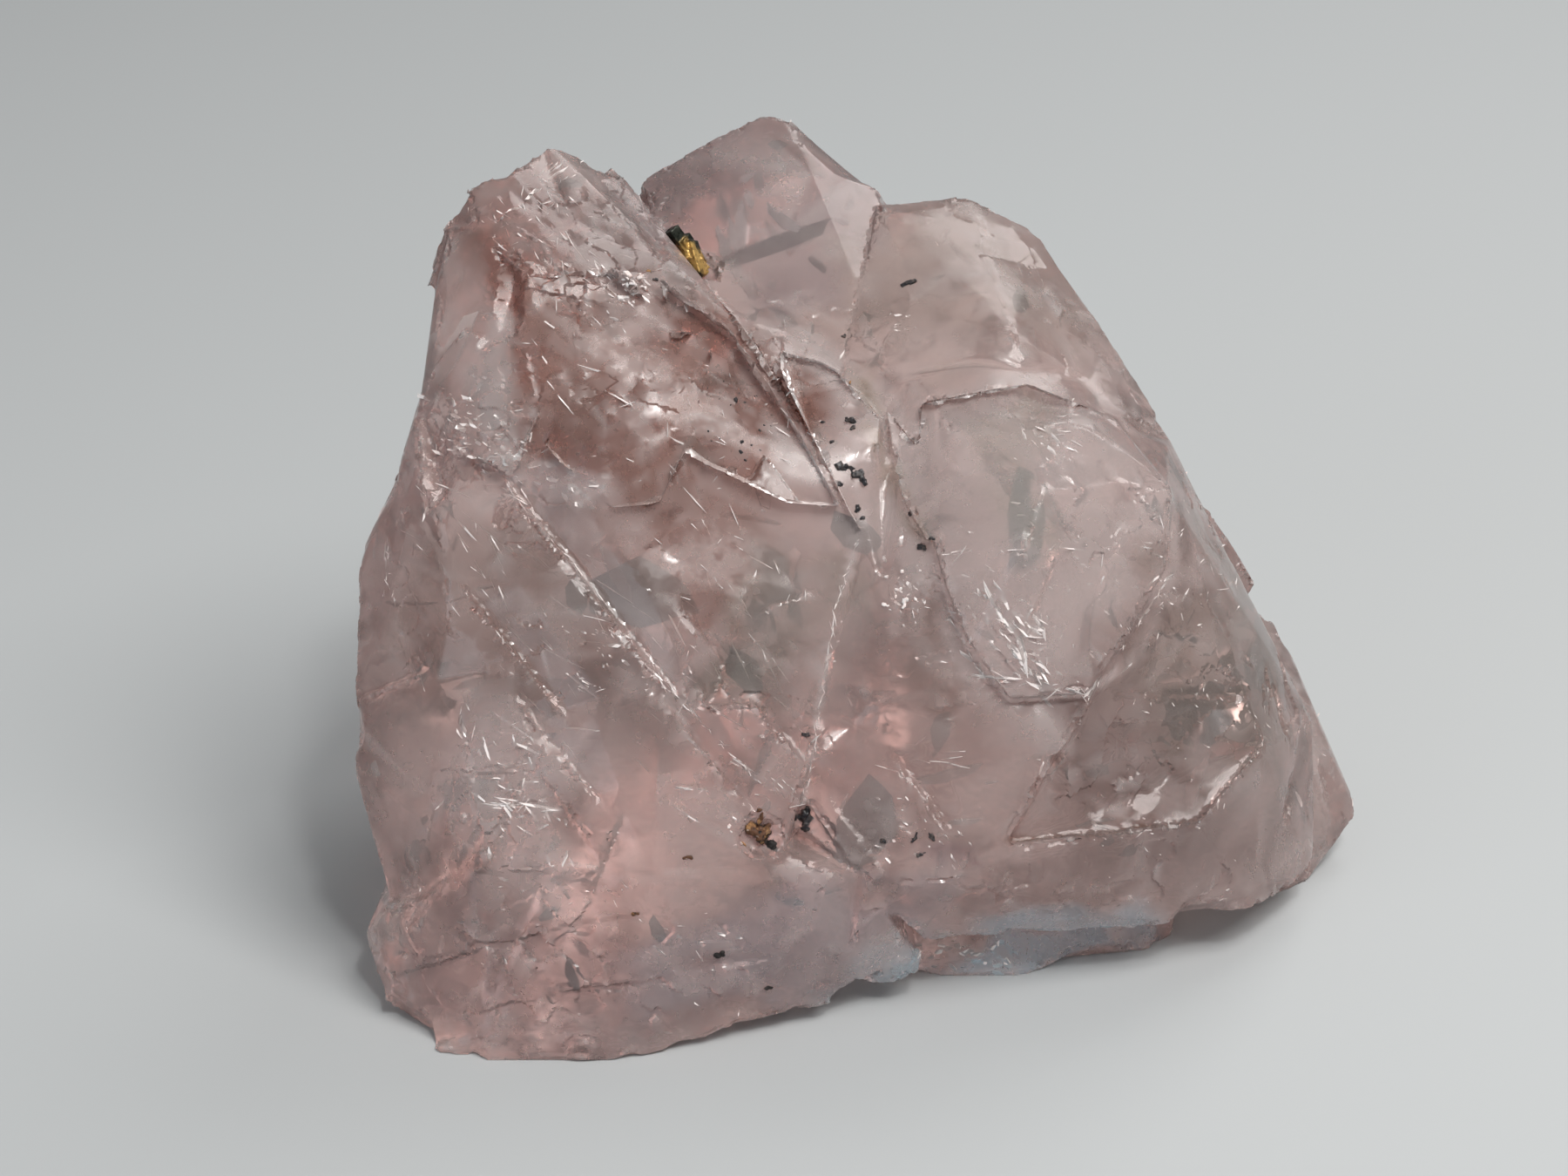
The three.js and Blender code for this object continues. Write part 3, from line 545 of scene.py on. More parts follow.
@dataclass(frozen=True)
class FluoriteFinish:
    """Pale pink-brown clear fluorite, cloudy in places, with dull white chipped edges that are real bruising
    and partly a painted edge glint; it also carries a painted bluish reflection on the lip and painted
    highlight and shade along the ledges.
    """

    ground: Colour = (0.84, 0.71, 0.68)
    frosted_white_and_glint: Colour = (0.95, 0.93, 0.92)
    ior: float = 1.434
    transmission: float = 0.76
    absorption_tint: Colour = (0.85, 0.675, 0.64)
    absorption_density: float = 58.0
    zone_drift_mm: float = 6.0
    seam_drift_mm: float = 0.3
    clouds: tuple[Layer, ...] = ((2.6, 21, 0.5), (1.1, 22, 0.3), (0.5, 23, 0.2))
    ground_haze: Limits = (0.2, 0.8)
    ground_haze_edge: Limits = (0.35, 0.75)
    smoke_edge: Limits = (0.4, 0.65)
    smoke_below: float = 0.30
    smoke_above: float = 0.10
    veils: tuple[Layer, ...] = ((1.3, 24, 1.0), (0.4, 25, 0.5))
    veil_edge: Limits = (0.75, 1.1)
    veil_share: float = 0.25
    least_roughness: float = 0.03
    haze_roughness: Limits = (0.12, 0.42)
    gap_wall: Colour = (1.0, 0.96, 0.95)
    gap_transmission: float = 0.9
    gap_roughness: float = 0.14
    # Chipped edges turn white and hazier: real bruising, partly a painted edge glint.
    wear_and_glint_from_to_mm: Limits = (0.012, 0.06)
    wear_and_glint_most: float = 0.85
    wear_and_glint_patch_mm: float = 0.45
    wear_and_glint_seed: int = 31
    wear_and_glint_edge: Limits = (0.35, 0.65)
    zones: tuple[Zone, ...] = (
        Zone(-15.0, 19.0, -4.0, (7.0, 4.0, 9.0), (0.45, 0.35, 0.33), 0.8),
        Zone(-9.5, 9.0, -3.0, (11.0, 6.5, 9.0), (0.42, 0.24, 0.20), 0.9, -20.0, 0.55),
        Zone(-16.7, 13.0, -3.0, (3.4, 4.0, 6.0), (0.40, 0.20, 0.16), 0.8, haze=0.3),
        Zone(-9.6, 7.5, -3.0, (2.2, 2.4, 6.0), (0.44, 0.25, 0.20), 0.6),
        Zone(-4.3, 6.2, -3.0, (2.0, 2.8, 6.0), (0.40, 0.21, 0.17), 0.8),
        Zone(-0.8, 8.2, 0.0, (5.8, 2.3, 16.0), (1.0, 0.93, 0.91), 1.0, -65.0, haze=0.3),
        Zone(-18.5, 8.2, 0.0, (2.8, 2.4, 8.0), (1.0, 0.94, 0.92), 0.9, haze=0.3),
        Zone(-14.1, 5.6, 0.0, (2.8, 1.9, 8.0), (0.96, 0.83, 0.81), 0.8, -20.0, haze=0.3),
        Zone(-6.5, 2.0, 0.0, (4.5, 4.5, 6.0), (0.52, 0.34, 0.30), 0.8, haze=0.6),
        Zone(-17.0, -2.0, -2.0, (6.0, 10.0, 8.0), (0.47, 0.37, 0.34), 0.8, -40.0),
        Zone(8.5, 2.0, -2.0, (8.0, 10.0, 7.0), (1.0, 0.93, 0.91), 0.9, haze=0.35),
        Zone(8.6, 5.5, 0.0, (2.4, 2.2, 6.0), (0.78, 0.76, 0.68), 0.5, haze=-0.2),
        Zone(5.0, 14.0, -12.0, (9.0, 8.0, 9.0), (0.66, 0.57, 0.52), 0.7),
        Zone(-5.0, 19.0, -14.0, (8.0, 7.0, 9.0), (0.50, 0.44, 0.45), 0.8, haze=0.2),
        Zone(-3.6, -1.6, 0.0, (3.2, 4.0, 4.0), (0.52, 0.50, 0.45), 0.6),
        Zone(-2.0, -9.0, 0.0, (7.0, 4.0, 6.0), (0.66, 0.54, 0.52), 0.7, haze=0.2),
        Zone(14.5, -6.5, -4.0, (7.0, 6.0, 7.0), (0.42, 0.34, 0.32), 0.8, 30.0, haze=-0.4),
        Zone(14.0, -14.0, -2.0, (8.0, 3.5, 9.0), (0.56, 0.46, 0.44), 0.8),
        Zone(19.5, -3.0, -4.0, (4.5, 8.0, 12.0), (0.52, 0.46, 0.42), 0.8, 20.0, haze=-0.1),
        Zone(3.5, -7.0, 0.0, (4.5, 4.5, 8.0), (0.66, 0.52, 0.49), 0.7),
        Zone(9.7, -7.0, 0.0, (1.9, 1.4, 8.0), (0.95, 0.86, 0.84), 0.8, haze=0.3),
        Zone(-17.0, -10.5, 1.0, (4.5, 5.0, 5.0), (1.0, 0.90, 0.88), 0.9, haze=0.5),
        Zone(-14.0, -19.0, 1.0, (12.0, 5.0, 10.0), (0.40, 0.34, 0.34), 0.85, haze=0.4),
        # Painted reflection: these three zones tint the lip along the foot bluish white and blue-grey, as if
        # it caught cool light from below.
        Zone(6.0, -19.4, 0.0, (7.0, 3.4, 14.0), (0.80, 0.93, 1.0), 1.0, haze=0.4),
        Zone(10.5, -18.9, 0.0, (7.5, 2.6, 24.0), (0.66, 0.88, 1.0), 1.0, haze=0.5),
        Zone(-3.5, -17.0, 0.0, (8.0, 2.8, 14.0), (0.56, 0.58, 0.63), 0.75, 15.0, haze=0.2),
        Zone(-3.4, 19.4, -14.0, (1.7, 1.5, 4.0), (0.34, 0.35, 0.44), 0.8),
        Zone(3.5, -12.8, 0.0, (1.1, 1.1, 8.0), (0.36, 0.30, 0.33), 0.7),
        Zone(4.2, -4.4, 0.0, (1.9, 1.8, 8.0), (0.50, 0.40, 0.37), 0.8),
    )

    def store(self, mesh: bpy.types.Mesh) -> None:
        """Store the stone's tint, haze and bruised edges with its vertices; the edges' white is partly a
        painted edge glint, and the tint holds painted light on the lip and ledges.

        Args:
            mesh: The stone's mesh, which gets the attributes tint and haze.
        """
        points = vertex_array(mesh) / MM
        normals = vertex_array(mesh, "normal")
        drift = noise_vectors(points, 4.0, (3, 4, 5)) + 0.5 * noise_vectors(points, 1.7, (6, 7, 8))
        places = points + drift * self.zone_drift_mm
        cloud = layered_noise(points, self.clouds)
        veil = smooth_step(layered_noise(places, self.veils), *self.veil_edge)
        smoke = smooth_step(cloud, *self.smoke_edge) * (1.0 - veil)
        tint = np.tile(np.array(self.ground), (len(points), 1))
        tint *= (1.0 - self.smoke_below * smoke)[:, None]
        haze = between(self.ground_haze, smooth_step(cloud, *self.ground_haze_edge))
        for zone in self.zones:
            share = zone.share(places)
            mix_rows(tint, zone.tint, share)
            haze += zone.haze * share
        for seam in SEAMS:
            share = seam.share(points + drift * self.seam_drift_mm, normals)
            look_tint, look_haze = seam.look.value
            mix_rows(tint, look_tint, share)
            haze += look_haze * share
        tint *= (1.0 - self.smoke_above * smoke)[:, None]
        mix_rows(tint, self.frosted_white_and_glint, self.veil_share * veil)
        # Convex edges, in patches, turn white and hazier: real bruising, partly a painted edge glint.
        wear_and_glint = smooth_step(convexity(mesh, 1), *self.wear_and_glint_from_to_mm)
        wear_and_glint_patch = smooth_step(soft_noise(points, self.wear_and_glint_patch_mm, self.wear_and_glint_seed), *self.wear_and_glint_edge)
        wear_and_glint *= self.wear_and_glint_most * wear_and_glint_patch
        mix_rows(tint, self.frosted_white_and_glint, wear_and_glint)
        store_colour(mesh, "tint", tint)
        store_attribute(mesh, "haze", np.clip(haze + self.veil_share * veil + wear_and_glint, 0.0, 1.0))

    def material(self) -> bpy.types.Material:
        """Make the finish.

        Returns:
            The material, which reads the attributes tint and haze.
        """
        tree = Tree("fluorite")
        fine = tree.noise(1400.0, 2.0, 0.6)
        tint = tree.add("ShaderNodeAttribute", attribute_name="tint").outputs["Color"]
        haze = tree.add("ShaderNodeAttribute", attribute_name="haze").outputs["Fac"]
        dull = tree.math("MULTIPLY", haze, tree.ramp(fine, 0.25, 0.75, *self.haze_roughness))
        shader = tree.add("ShaderNodeBsdfPrincipled", {
            "Base Color": tint,
            "Roughness": tree.math("ADD", dull, self.least_roughness),
            "IOR": self.ior,
            "Transmission Weight": self.transmission,
        })
        return tree.finish(shader, self.absorption(tree))

    def crack_material(self) -> bpy.types.Material:
        """Make the finish of the gaps' walls, which are fresh and glassy."""
        tree = Tree("fluorite_crack")
        shader = tree.add("ShaderNodeBsdfPrincipled", {
            "Base Color": (*self.gap_wall, 1.0), "Roughness": self.gap_roughness, "IOR": self.ior,
            "Transmission Weight": self.gap_transmission})
        return tree.finish(shader, self.absorption(tree))

    def absorption(self, tree: Tree) -> bpy.types.Node:
        """Give the stone's inside its tint."""
        return tree.add("ShaderNodeVolumeAbsorption", {
            "Color": (*self.absorption_tint, 1.0), "Density": self.absorption_density})


@dataclass(frozen=True)
class BlockRelief:
    """One size of cleavage blocks broken out of the faces."""

    sizes_mm: tuple[float, float, float, float]
    depth_mm: float
    share: float
    seed: int
    zone: Zone | None = None
    warp_mm: float = 1.6
    patch_mm: float = 6.0
    patch_edge: Limits = (0.9, 1.1)
    zone_patch_mm: float = 1.8
    zone_patch_edge: Limits = (0.3, 0.7)

    def depth(self, points: np.ndarray) -> np.ndarray:
        """Tell how deep the blocks are broken out at points, all in millimetres."""
        if self.zone is None:
            patch = soft_noise(points, self.patch_mm, self.seed + 9)
            share = smooth_step(patch, *(edge - self.share for edge in self.patch_edge))
        else:
            share = self.zone.share(points)
        depth = np.zeros(len(points))
        broken = share > 0.0
        places = points[broken]
        warp = noise_vectors(places, self.warp_mm, tuple(range(self.seed + 5, self.seed + 9)))
        cells = np.floor(places @ CLEAVAGE.T / np.array(self.sizes_mm) + warp)
        depth[broken] = self.depth_mm * lattice_random(cells, self.seed) ** 2
        if self.zone is not None:
            patch = soft_noise(places, self.zone_patch_mm, self.seed + 9)
            depth[broken] *= smooth_step(patch, *self.zone_patch_edge)
        return depth * share


def streaked(right: float, up: float, reach: Limits, sizes_mm: tuple[float, float, float, float],
             depth_mm: float, seed: int) -> BlockRelief:
    """Give a spot on the face, as it is seen, that is broken in steps along its cleavage."""
    return BlockRelief(sizes_mm, depth_mm, 1.0, seed, Zone(right, up, 0.0, (*reach, STREAK_DEPTH_MM)))


class StoneSurface:
    """The stone's outer surface, sorted for quick searches in millimetres."""

    def __init__(self, stone: bpy.types.Object) -> None:
        """Sort the faces.

        Args:
            stone: The closed stone, before anything is joined to it.
        """
        mesh = stone.data
        self.faces = [(face.center / MM, face.normal.copy()) for face in mesh.polygons]
        self.tree = BVHTree.FromPolygons([vertex.co / MM for vertex in mesh.vertices],
                                         [tuple(face.vertices) for face in mesh.polygons])

    def seen(self, right: float, up: float) -> tuple[Vector, Vector] | None:
        """Find where a line of sight meets the stone.

        Args:
            right: Millimetres to the right in the picture.
            up: Millimetres up in the picture.

        Returns:
            The place and its normal, or nothing where the line passes the stone by.
        """
        eye = SIGHT.eye()
        place, normal, _, _ = self.tree.ray_cast(eye, (SIGHT.place(right, up) - eye).normalized())
        return None if place is None else (place, normal)

    def inside(self, point: Vector) -> bool:
        """Tell whether a point lies in the stone, by how often a slanting line from it leaves the surface."""
        crossings = 0
        place = self.tree.ray_cast(point, PROBE)[0]
        while place is not None:
            crossings += 1
            place = self.tree.ray_cast(place + PROBE * PROBE_STEP_MM, PROBE)[0]
        return crossings % 2 == 1

    def depth(self, point: Vector) -> float:
        """Tell how deep a point lies under the surface, below 0 outside."""
        away = self.tree.find_nearest(point)[3]
        return away if self.inside(point) else -away


@dataclass(frozen=True)
class Sheet:
    """One thin flat sheet inside the stone, in millimetres."""

    middle: Vector
    normal: Vector
    along: Vector
    reach: float
    slender: float

    def turn(self) -> Euler:
        """Give the turn that lays a flat ring in the sheet's plane."""
        across = self.normal.cross(self.along).normalized()
        along = across.cross(self.normal).normalized()
        return Matrix((along, across, self.normal.normalized())).transposed().to_euler()


@dataclass(frozen=True)
class SheetMaker:
    """The way in which thin ragged sheets are made, all of a set in one mesh."""

    corners: int
    cuts: int
    ragged: float
    thickness_mm: float
    seed: int
    waviness: float = 0.04
    uneven: Limits = (0.6, 1.4)

    def build(self, name: str, sheets: list[Sheet], inward: bool) -> bpy.types.Object:
        """Make sheets as closed thin plates.

        Args:
            name: The piece's name.
            sheets: The sheets.
            inward: Whether the faces look into the plates, as the walls of a gap do.

        Returns:
            One object with all of the plates.
        """
        places = [{"vertices": self.corners, "radius": sheet.reach * MM, "fill_type": "TRIFAN",
                   "location": sheet.middle * MM, "rotation": sheet.turn()} for sheet in sheets]
        piece = joined_primitives(name, bpy.ops.mesh.primitive_circle_add, places)
        self.narrow(piece.data, sheets)
        edit_all(piece, bpy.ops.mesh.subdivide, number_cuts=self.cuts, fractal=self.ragged,
                 fractal_along_normal=self.waviness, seed=self.seed)
        apply_modifier(piece, "SOLIDIFY", thickness=self.thickness_mm * MM, offset=0.0)
        edit_all(piece, bpy.ops.mesh.normals_make_consistent, inside=inward)
        return piece

    def narrow(self, mesh: bpy.types.Mesh, sheets: list[Sheet]) -> None:
        """Draw each round sheet out along its length and make its outline uneven.

        Args:
            mesh: The sheets' mesh, with the same count of vertices for each sheet.
            sheets: The sheets, in the same order.
        """
        points = vertex_array(mesh).reshape(len(sheets), self.corners + 1, 3)
        middles = np.array([tuple(sheet.middle * MM) for sheet in sheets])[:, None]
        offset = points - middles
        along = np.array([tuple(sheet.along.cross(sheet.normal).cross(sheet.normal).normalized())
                          for sheet in sheets])[:, None]
        slender = np.array([sheet.slender for sheet in sheets])[:, None, None]
        lengthwise = (offset * along).sum(axis=2, keepdims=True) * along
        offset = lengthwise + (offset - lengthwise) * slender
        corner = np.array(list(np.ndindex(len(sheets), self.corners + 1)))
        uneven = between(self.uneven, lattice_random(corner, self.seed))
        offset *= uneven.reshape(len(sheets), -1, 1)
        mesh.vertices.foreach_set("co", (middles + offset).ravel())
        mesh.update()


@dataclass(frozen=True)
class Cracks:
    """Thin flat air gaps inside the stone, where it has parted along its cleavage."""

    count: int = 420
    families: tuple[int, ...] = (0, 1, 1, 2, 2, 3, 3)
    reach_mm: Limits = (0.5, 3.0)
    foot_reach_mm: float = 0.7
    foot_top_mm: float = -12.5
    depth_mm: Limits = (0.5, 9.0)
    slender: Limits = (0.2, 0.7)
    cover_mm: float = 0.45
    tilt_deg: float = 4.0
    test_turn_deg: int = 20
    test_shares: tuple[float, ...] = (0.4, 0.8, 1.1, 1.45)
    least_mm: float = 0.3
    shrink: float = 0.8
    seed: int = 77
    maker: SheetMaker = SheetMaker(corners=6, cuts=1, ragged=0.9, thickness_mm=0.05, seed=12)

    def build(self, surface: StoneSurface) -> bpy.types.Object:
        """Make the gaps as closed thin pockets whose walls look into the gap.

        Args:
            surface: The stone's surface.

        Returns:
            One object with all of the pockets.
        """
        rng = random.Random(self.seed)
        sheets = []
        for _ in range(self.count):
            family = rng.choice(self.families)
            tilt = random_vector(rng, math.radians(self.tilt_deg))
            normal = (Vector(CLEAVAGE[family]) + tilt).normalized()
            along = Matrix.Rotation(rng.uniform(0.0, math.tau), 3, normal) @ normal.orthogonal()
            centre, outward = surface.faces[rng.randrange(len(surface.faces))]
            middle = centre - outward * between(self.depth_mm, rng.random() ** 2.0)
            wish = between(self.reach_mm, rng.random() ** 2.0)
            if SIGHT.shown(np.array([middle]))[1][0] < self.foot_top_mm:
                wish = min(wish, self.foot_reach_mm)
            reach = self.room(surface, middle, normal, wish)
            slender = between(self.slender, rng.random())
            if reach >= self.reach_mm[0]:
                sheets.append(Sheet(middle, normal, along, reach, slender))
        return self.maker.build("cleavage_gaps", sheets, inward=True)

    def room(self, surface: StoneSurface, middle: Vector, normal: Vector, reach: float) -> float:
        """Shrink a gap until it stays inside the stone.

        Args:
            surface: The stone's surface.
            middle: The gap's middle in millimetres.
            normal: Its normal.
            reach: The reach that is wished for.

        Returns:
            The reach that fits, or 0 where none does.
        """
        if surface.depth(middle) < self.cover_mm:
            return 0.0
        flat = normal.orthogonal().normalized()
        for turn_deg in range(0, 360, self.test_turn_deg):
            turned = Matrix.Rotation(math.radians(turn_deg), 3, normal) @ flat
            for share in self.test_shares:
                while (reach > self.least_mm
                       and surface.depth(middle + turned * reach * share) < self.cover_mm):
                    reach *= self.shrink
        return reach


@dataclass(frozen=True)
class Glints:
    """Bright flakes strewn along a line just under the face, as it is seen; their white is partly a painted
    glint.
    """

    start: tuple[float, float]
    end: tuple[float, float]
    spread_mm: float
    count: int
    reach_mm: Limits
    slender: float = 0.4
    under_mm: Limits = (0.0, 0.06)


@dataclass(frozen=True)
class Flakes:
    """Small bright cleavage flakes that have parted from the stone just under its surface; their white, where
    the stone glints, is partly a painted glint.
    """

    name: str = "bright_flakes"
    all_round: int = 300
    all_round_reach_mm: Limits = (0.05, 0.4)
    all_round_slender: float = 0.15
    all_round_along: tuple[float, float, float] = (0.3, 0.2, 1.0)
    lean_deg: float = 35.0
    swerve: float = 0.15
    seed: int = 5
    maker: SheetMaker = SheetMaker(corners=5, cuts=1, ragged=1.4, thickness_mm=0.02, seed=3)
    # Each set puts white flakes where the stone glints; their white is partly a painted glint.
    glints: tuple[Glints, ...] = (
        Glints((-13.2, -2.2), (-11.6, -3.2), 0.6, 22, (0.08, 0.35), 0.3),
        Glints((-13.8, -4.8), (-12.8, -5.2), 0.3, 12, (0.08, 0.3), 0.3),
        Glints((-17.3, 5.0), (-12.2, -1.0), 0.05, 10, (0.3, 1.0), 0.05),
        Glints((-10.4, -3.7), (-5.2, -9.3), 0.06, 26, (0.25, 0.9), 0.06),
        Glints((-9.3, -10.0), (-7.2, -10.1), 0.04, 8, (0.25, 0.7), 0.06),
        Glints((-5.2, -9.0), (-2.2, -11.0), 0.45, 24, (0.15, 0.7), 0.06),
        Glints((0.2, 2.4), (-0.9, -1.1), 0.03, 16, (0.15, 0.6), 0.06),
        Glints((-0.9, -1.1), (-1.3, -3.7), 0.03, 10, (0.15, 0.6), 0.06),
        Glints((-1.3, -3.7), (-1.8, -6.7), 0.03, 12, (0.15, 0.7), 0.06),
        Glints((-1.8, -6.7), (-2.4, -10.9), 0.04, 16, (0.15, 0.7), 0.06),
        Glints((1.8, 1.1), (3.4, -1.1), 0.6, 30, (0.06, 0.3)),
        Glints((1.4, 13.4), (3.0, 13.2), 0.25, 14, (0.1, 0.45), 0.3),
        Glints((7.4, -1.1), (10.2, -3.9), 0.9, 26, (0.1, 0.5), 0.25),
        Glints((9.2, 7.7), (10.6, 6.6), 0.8, 26, (0.1, 0.5), 0.25),
        Glints((4.3, 1.7), (15.4, 2.2), 0.06, 16, (0.2, 0.8), 0.05),
        Glints((4.6, -1.0), (6.4, -4.4), 0.06, 16, (0.2, 0.7), 0.1),
        Glints((6.4, -4.4), (11.7, -5.4), 0.06, 24, (0.2, 0.8), 0.1),
        Glints((11.7, -5.4), (15.8, 0.6), 0.06, 22, (0.2, 0.7), 0.1),
        Glints((-18.9, -6.4), (-16.2, -13.6), 1.2, 46, (0.1, 0.5), 0.2),
        Glints((-18.3, -10.8), (-15.8, -10.8), 0.1, 14, (0.25, 0.8), 0.12),
        Glints((-21.5, 8.5), (-16.3, 6.6), 0.9, 46, (0.1, 0.45), 0.3),
        Glints((-17.5, 20.0), (-11.0, 15.0), 1.4, 60, (0.1, 0.6), 0.12),
        Glints((-15.0, 13.0), (-9.0, 12.0), 1.6, 24, (0.06, 0.3), 0.15),
        Glints((-23.4, 2.4), (-23.3, -0.4), 0.15, 12, (0.15, 0.5), 0.15),
        Glints((8.0, -4.0), (11.5, -5.5), 0.3, 16, (0.1, 0.4), 0.3),
        Glints((14.0, -1.0), (20.0, -8.0), 2.2, 60, (0.05, 0.25), 0.3),
        Glints((12.0, -12.5), (20.0, -15.5), 1.2, 40, (0.05, 0.25), 0.3),
        Glints((1.0, -10.0), (5.2, -14.0), 1.2, 44, (0.05, 0.25), 0.3),
        Glints((-10.0, 9.0), (-1.0, 9.0), 2.2, 20, (0.05, 0.2), 0.3),
        Glints((7.0, -0.2), (9.6, -4.2), 0.7, 16, (0.5, 1.2), 0.14),
        Glints((-20.0, 3.0), (-10.0, -7.0), 2.6, 46, (0.4, 1.7), 0.03, (0.1, 0.7)),
        Glints((-9.0, 1.0), (-3.0, -7.0), 1.4, 26, (0.3, 1.3), 0.03, (0.1, 0.7)),
        Glints((14.5, -3.0), (19.0, 4.0), 1.9, 50, (0.1, 0.45), 0.15),
        Glints((-20.0, -15.0), (-6.0, -19.0), 2.0, 60, (0.06, 0.3), 0.3),
        Glints((6.0, 3.5), (14.0, 0.0), 2.0, 60, (0.06, 0.3), 0.25, (0.02, 0.3)),
        Glints((6.4, -0.6), (9.4, -4.4), 0.35, 60, (0.08, 0.35), 0.35, (0.0, 0.2)),
        Glints((-20.8, 9.2), (-17.0, 7.0), 0.5, 30, (0.1, 0.4), 0.45, (0.0, 0.2)),
        Glints((-15.8, 6.0), (-12.6, 4.8), 0.5, 30, (0.1, 0.5), 0.5, (0.05, 0.3)),
        # Painted highlight: white flakes that brighten the lip.
        Glints((3.5, -18.2), (8.0, -18.4), 0.5, 60, (0.1, 0.4), 0.5, (0.0, 0.2)),
        Glints((-8.0, 4.0), (-5.5, 0.5), 1.2, 14, (0.4, 1.2), 0.05),
        Glints((-10.0, 10.0), (-4.0, 6.0), 1.8, 26, (0.3, 1.0), 0.05),
        Glints((-17.0, 16.0), (-12.0, 10.0), 1.6, 30, (0.3, 1.2), 0.06),
        Glints((-20.0, 4.0), (-14.0, -3.0), 2.0, 22, (0.3, 1.2), 0.05),
        Glints((1.5, -8.0), (5.5, -8.4), 0.6, 7, (0.3, 1.0), 0.03),
        Glints((-18.0, -10.2), (-15.5, -10.6), 0.9, 16, (0.3, 1.0), 0.1),
        Glints((-18.5, 18.0), (-13.5, 21.5), 0.8, 40, (0.15, 0.7), 0.12),
        Glints((-13.4, 16.2), (-11.0, 13.6), 0.5, 26, (0.2, 0.8), 0.14),
    )

    def build(self, surface: StoneSurface) -> bpy.types.Object:
        """Make the flakes, those that show in the picture and those all round.

        Args:
            surface: The stone's surface.

        Returns:
            The flakes, joined in one piece.
        """
        rng = random.Random(self.seed)
        sheets = []
        for glints in self.glints:
            sheets += self.strewn(surface, glints, rng)
        anywhere = Glints((0.0, 0.0), (0.0, 0.0), 0.0, self.all_round, self.all_round_reach_mm,
                          self.all_round_slender)
        for _ in range(anywhere.count):
            centre, outward = surface.faces[rng.randrange(len(surface.faces))]
            sheets.append(self.flake(centre, outward, Vector(self.all_round_along), anywhere, rng))
        piece = self.maker.build(self.name, sheets, inward=False)
        piece.data.materials.append(FlakeFinish().material())
        return piece

    def strewn(self, surface: StoneSurface, glints: Glints, rng: random.Random) -> list[Sheet]:
        """Strew one set of flakes along its line.

        Args:
            surface: The stone's surface.
            glints: The set.
            rng: The source of chance.

        Returns:
            The flakes that land on the stone.
        """
        run = (glints.end[0] - glints.start[0], glints.end[1] - glints.start[1])
        along = Vector((run[0], 0.0, 0.0)) + SIGHT.upward() * run[1]
        sheets = []
        for _ in range(glints.count):
            share = rng.random()
            right, up = (start + share * way + rng.gauss(0.0, glints.spread_mm)
                         for start, way in zip(glints.start, run))
            met = surface.seen(right, up)
            if met is not None:
                sheets.append(self.flake(*met, along, glints, rng))
        return sheets

    def flake(self, place: Vector, outward: Vector, along: Vector, glints: Glints,
              rng: random.Random) -> Sheet:
        """Lay one flake of a set at or under the surface, leaning a little of its own way.

        Args:
            place: Where the flake meets the surface, in millimetres.
            outward: The surface's normal there.
            along: The direction that the flake is drawn out in.
            glints: The set.
            rng: The source of chance.

        Returns:
            The flake.
        """
        lean = random_vector(rng, math.radians(self.lean_deg))
        swerve = random_vector(rng, self.swerve)
        reach = between(glints.reach_mm, rng.random() ** 2.0)
        under = between(glints.under_mm, rng.random())
        return Sheet(place - outward * under, (outward + lean).normalized(), along.normalized() + swerve,
                     reach, glints.slender)


@dataclass(frozen=True)
class FlakeFinish:
    """Bright, almost mirror-like white of a parted cleavage flake, partly a painted glint."""

    bright: Colour = (0.96, 0.88, 0.86)
    dim: Colour = (0.86, 0.80, 0.78)

    def material(self) -> bpy.types.Material:
        """Make the finish, whose shine varies from flake to flake."""
        tree = Tree("flake_painted_glint_white")
        patch = tree.noise(900.0, 2.0)
        shader = tree.add("ShaderNodeBsdfPrincipled", {
            "Base Color": tree.blend(patch, self.bright, self.dim),
            "Roughness": tree.ramp(patch, 0.35, 0.65, 0.08, 0.3), "IOR": 1.8})
        return tree.finish(shader)


@dataclass(frozen=True)
class SulphideFinish:
    """Brassy gold with a tarnished, almost black end at the upper left."""

    gold: Colour = (0.62, 0.40, 0.13)
    bronze: Colour = (0.26, 0.15, 0.05)
    dark: Colour = (0.020, 0.024, 0.018)
    dark_from_mm: float = -1.45
    dark_to_mm: float = -0.8
    dark_ragged_mm: float = 0.9
    outline_mm: float = 0.55
    outline_ragged_mm: float = 0.5

    def material(self) -> bpy.types.Material:
        """Make the finish, which darkens along the grain."""
        tree = Tree("golden_sulphide")
        node = "golden_sulphide_grain"
        right, up = Vector((1.0, 0.0, 0.0)), SIGHT.upward()
        patch = tree.noise(2600.0)
        fine = tree.noise(9000.0, 2.0)
        lengthwise = tree.uneven(tree.along(node, right - up), patch, self.dark_ragged_mm * MM)
        sideways = tree.math("ABSOLUTE", tree.along(node, right + up))
        sideways = tree.uneven(sideways, patch, self.outline_ragged_mm * MM)
        golden = tree.math("MULTIPLY", tree.ramp(lengthwise, self.dark_from_mm * MM, self.dark_to_mm * MM),
                           tree.ramp(sideways, self.outline_mm * MM, 0.5 * self.outline_mm * MM))
        metal = tree.blend(tree.ramp(patch, 0.5, 0.68), self.gold, self.bronze)
        shader = tree.add("ShaderNodeBsdfPrincipled", {
            "Base Color": tree.blend(golden, self.dark, metal), "Metallic": 0.75,
            "Roughness": tree.ramp(fine, 0.3, 0.7, 0.25, 0.5), "Normal": tree.bump(fine, 0.5, 0.03)})
        return tree.finish(shader)


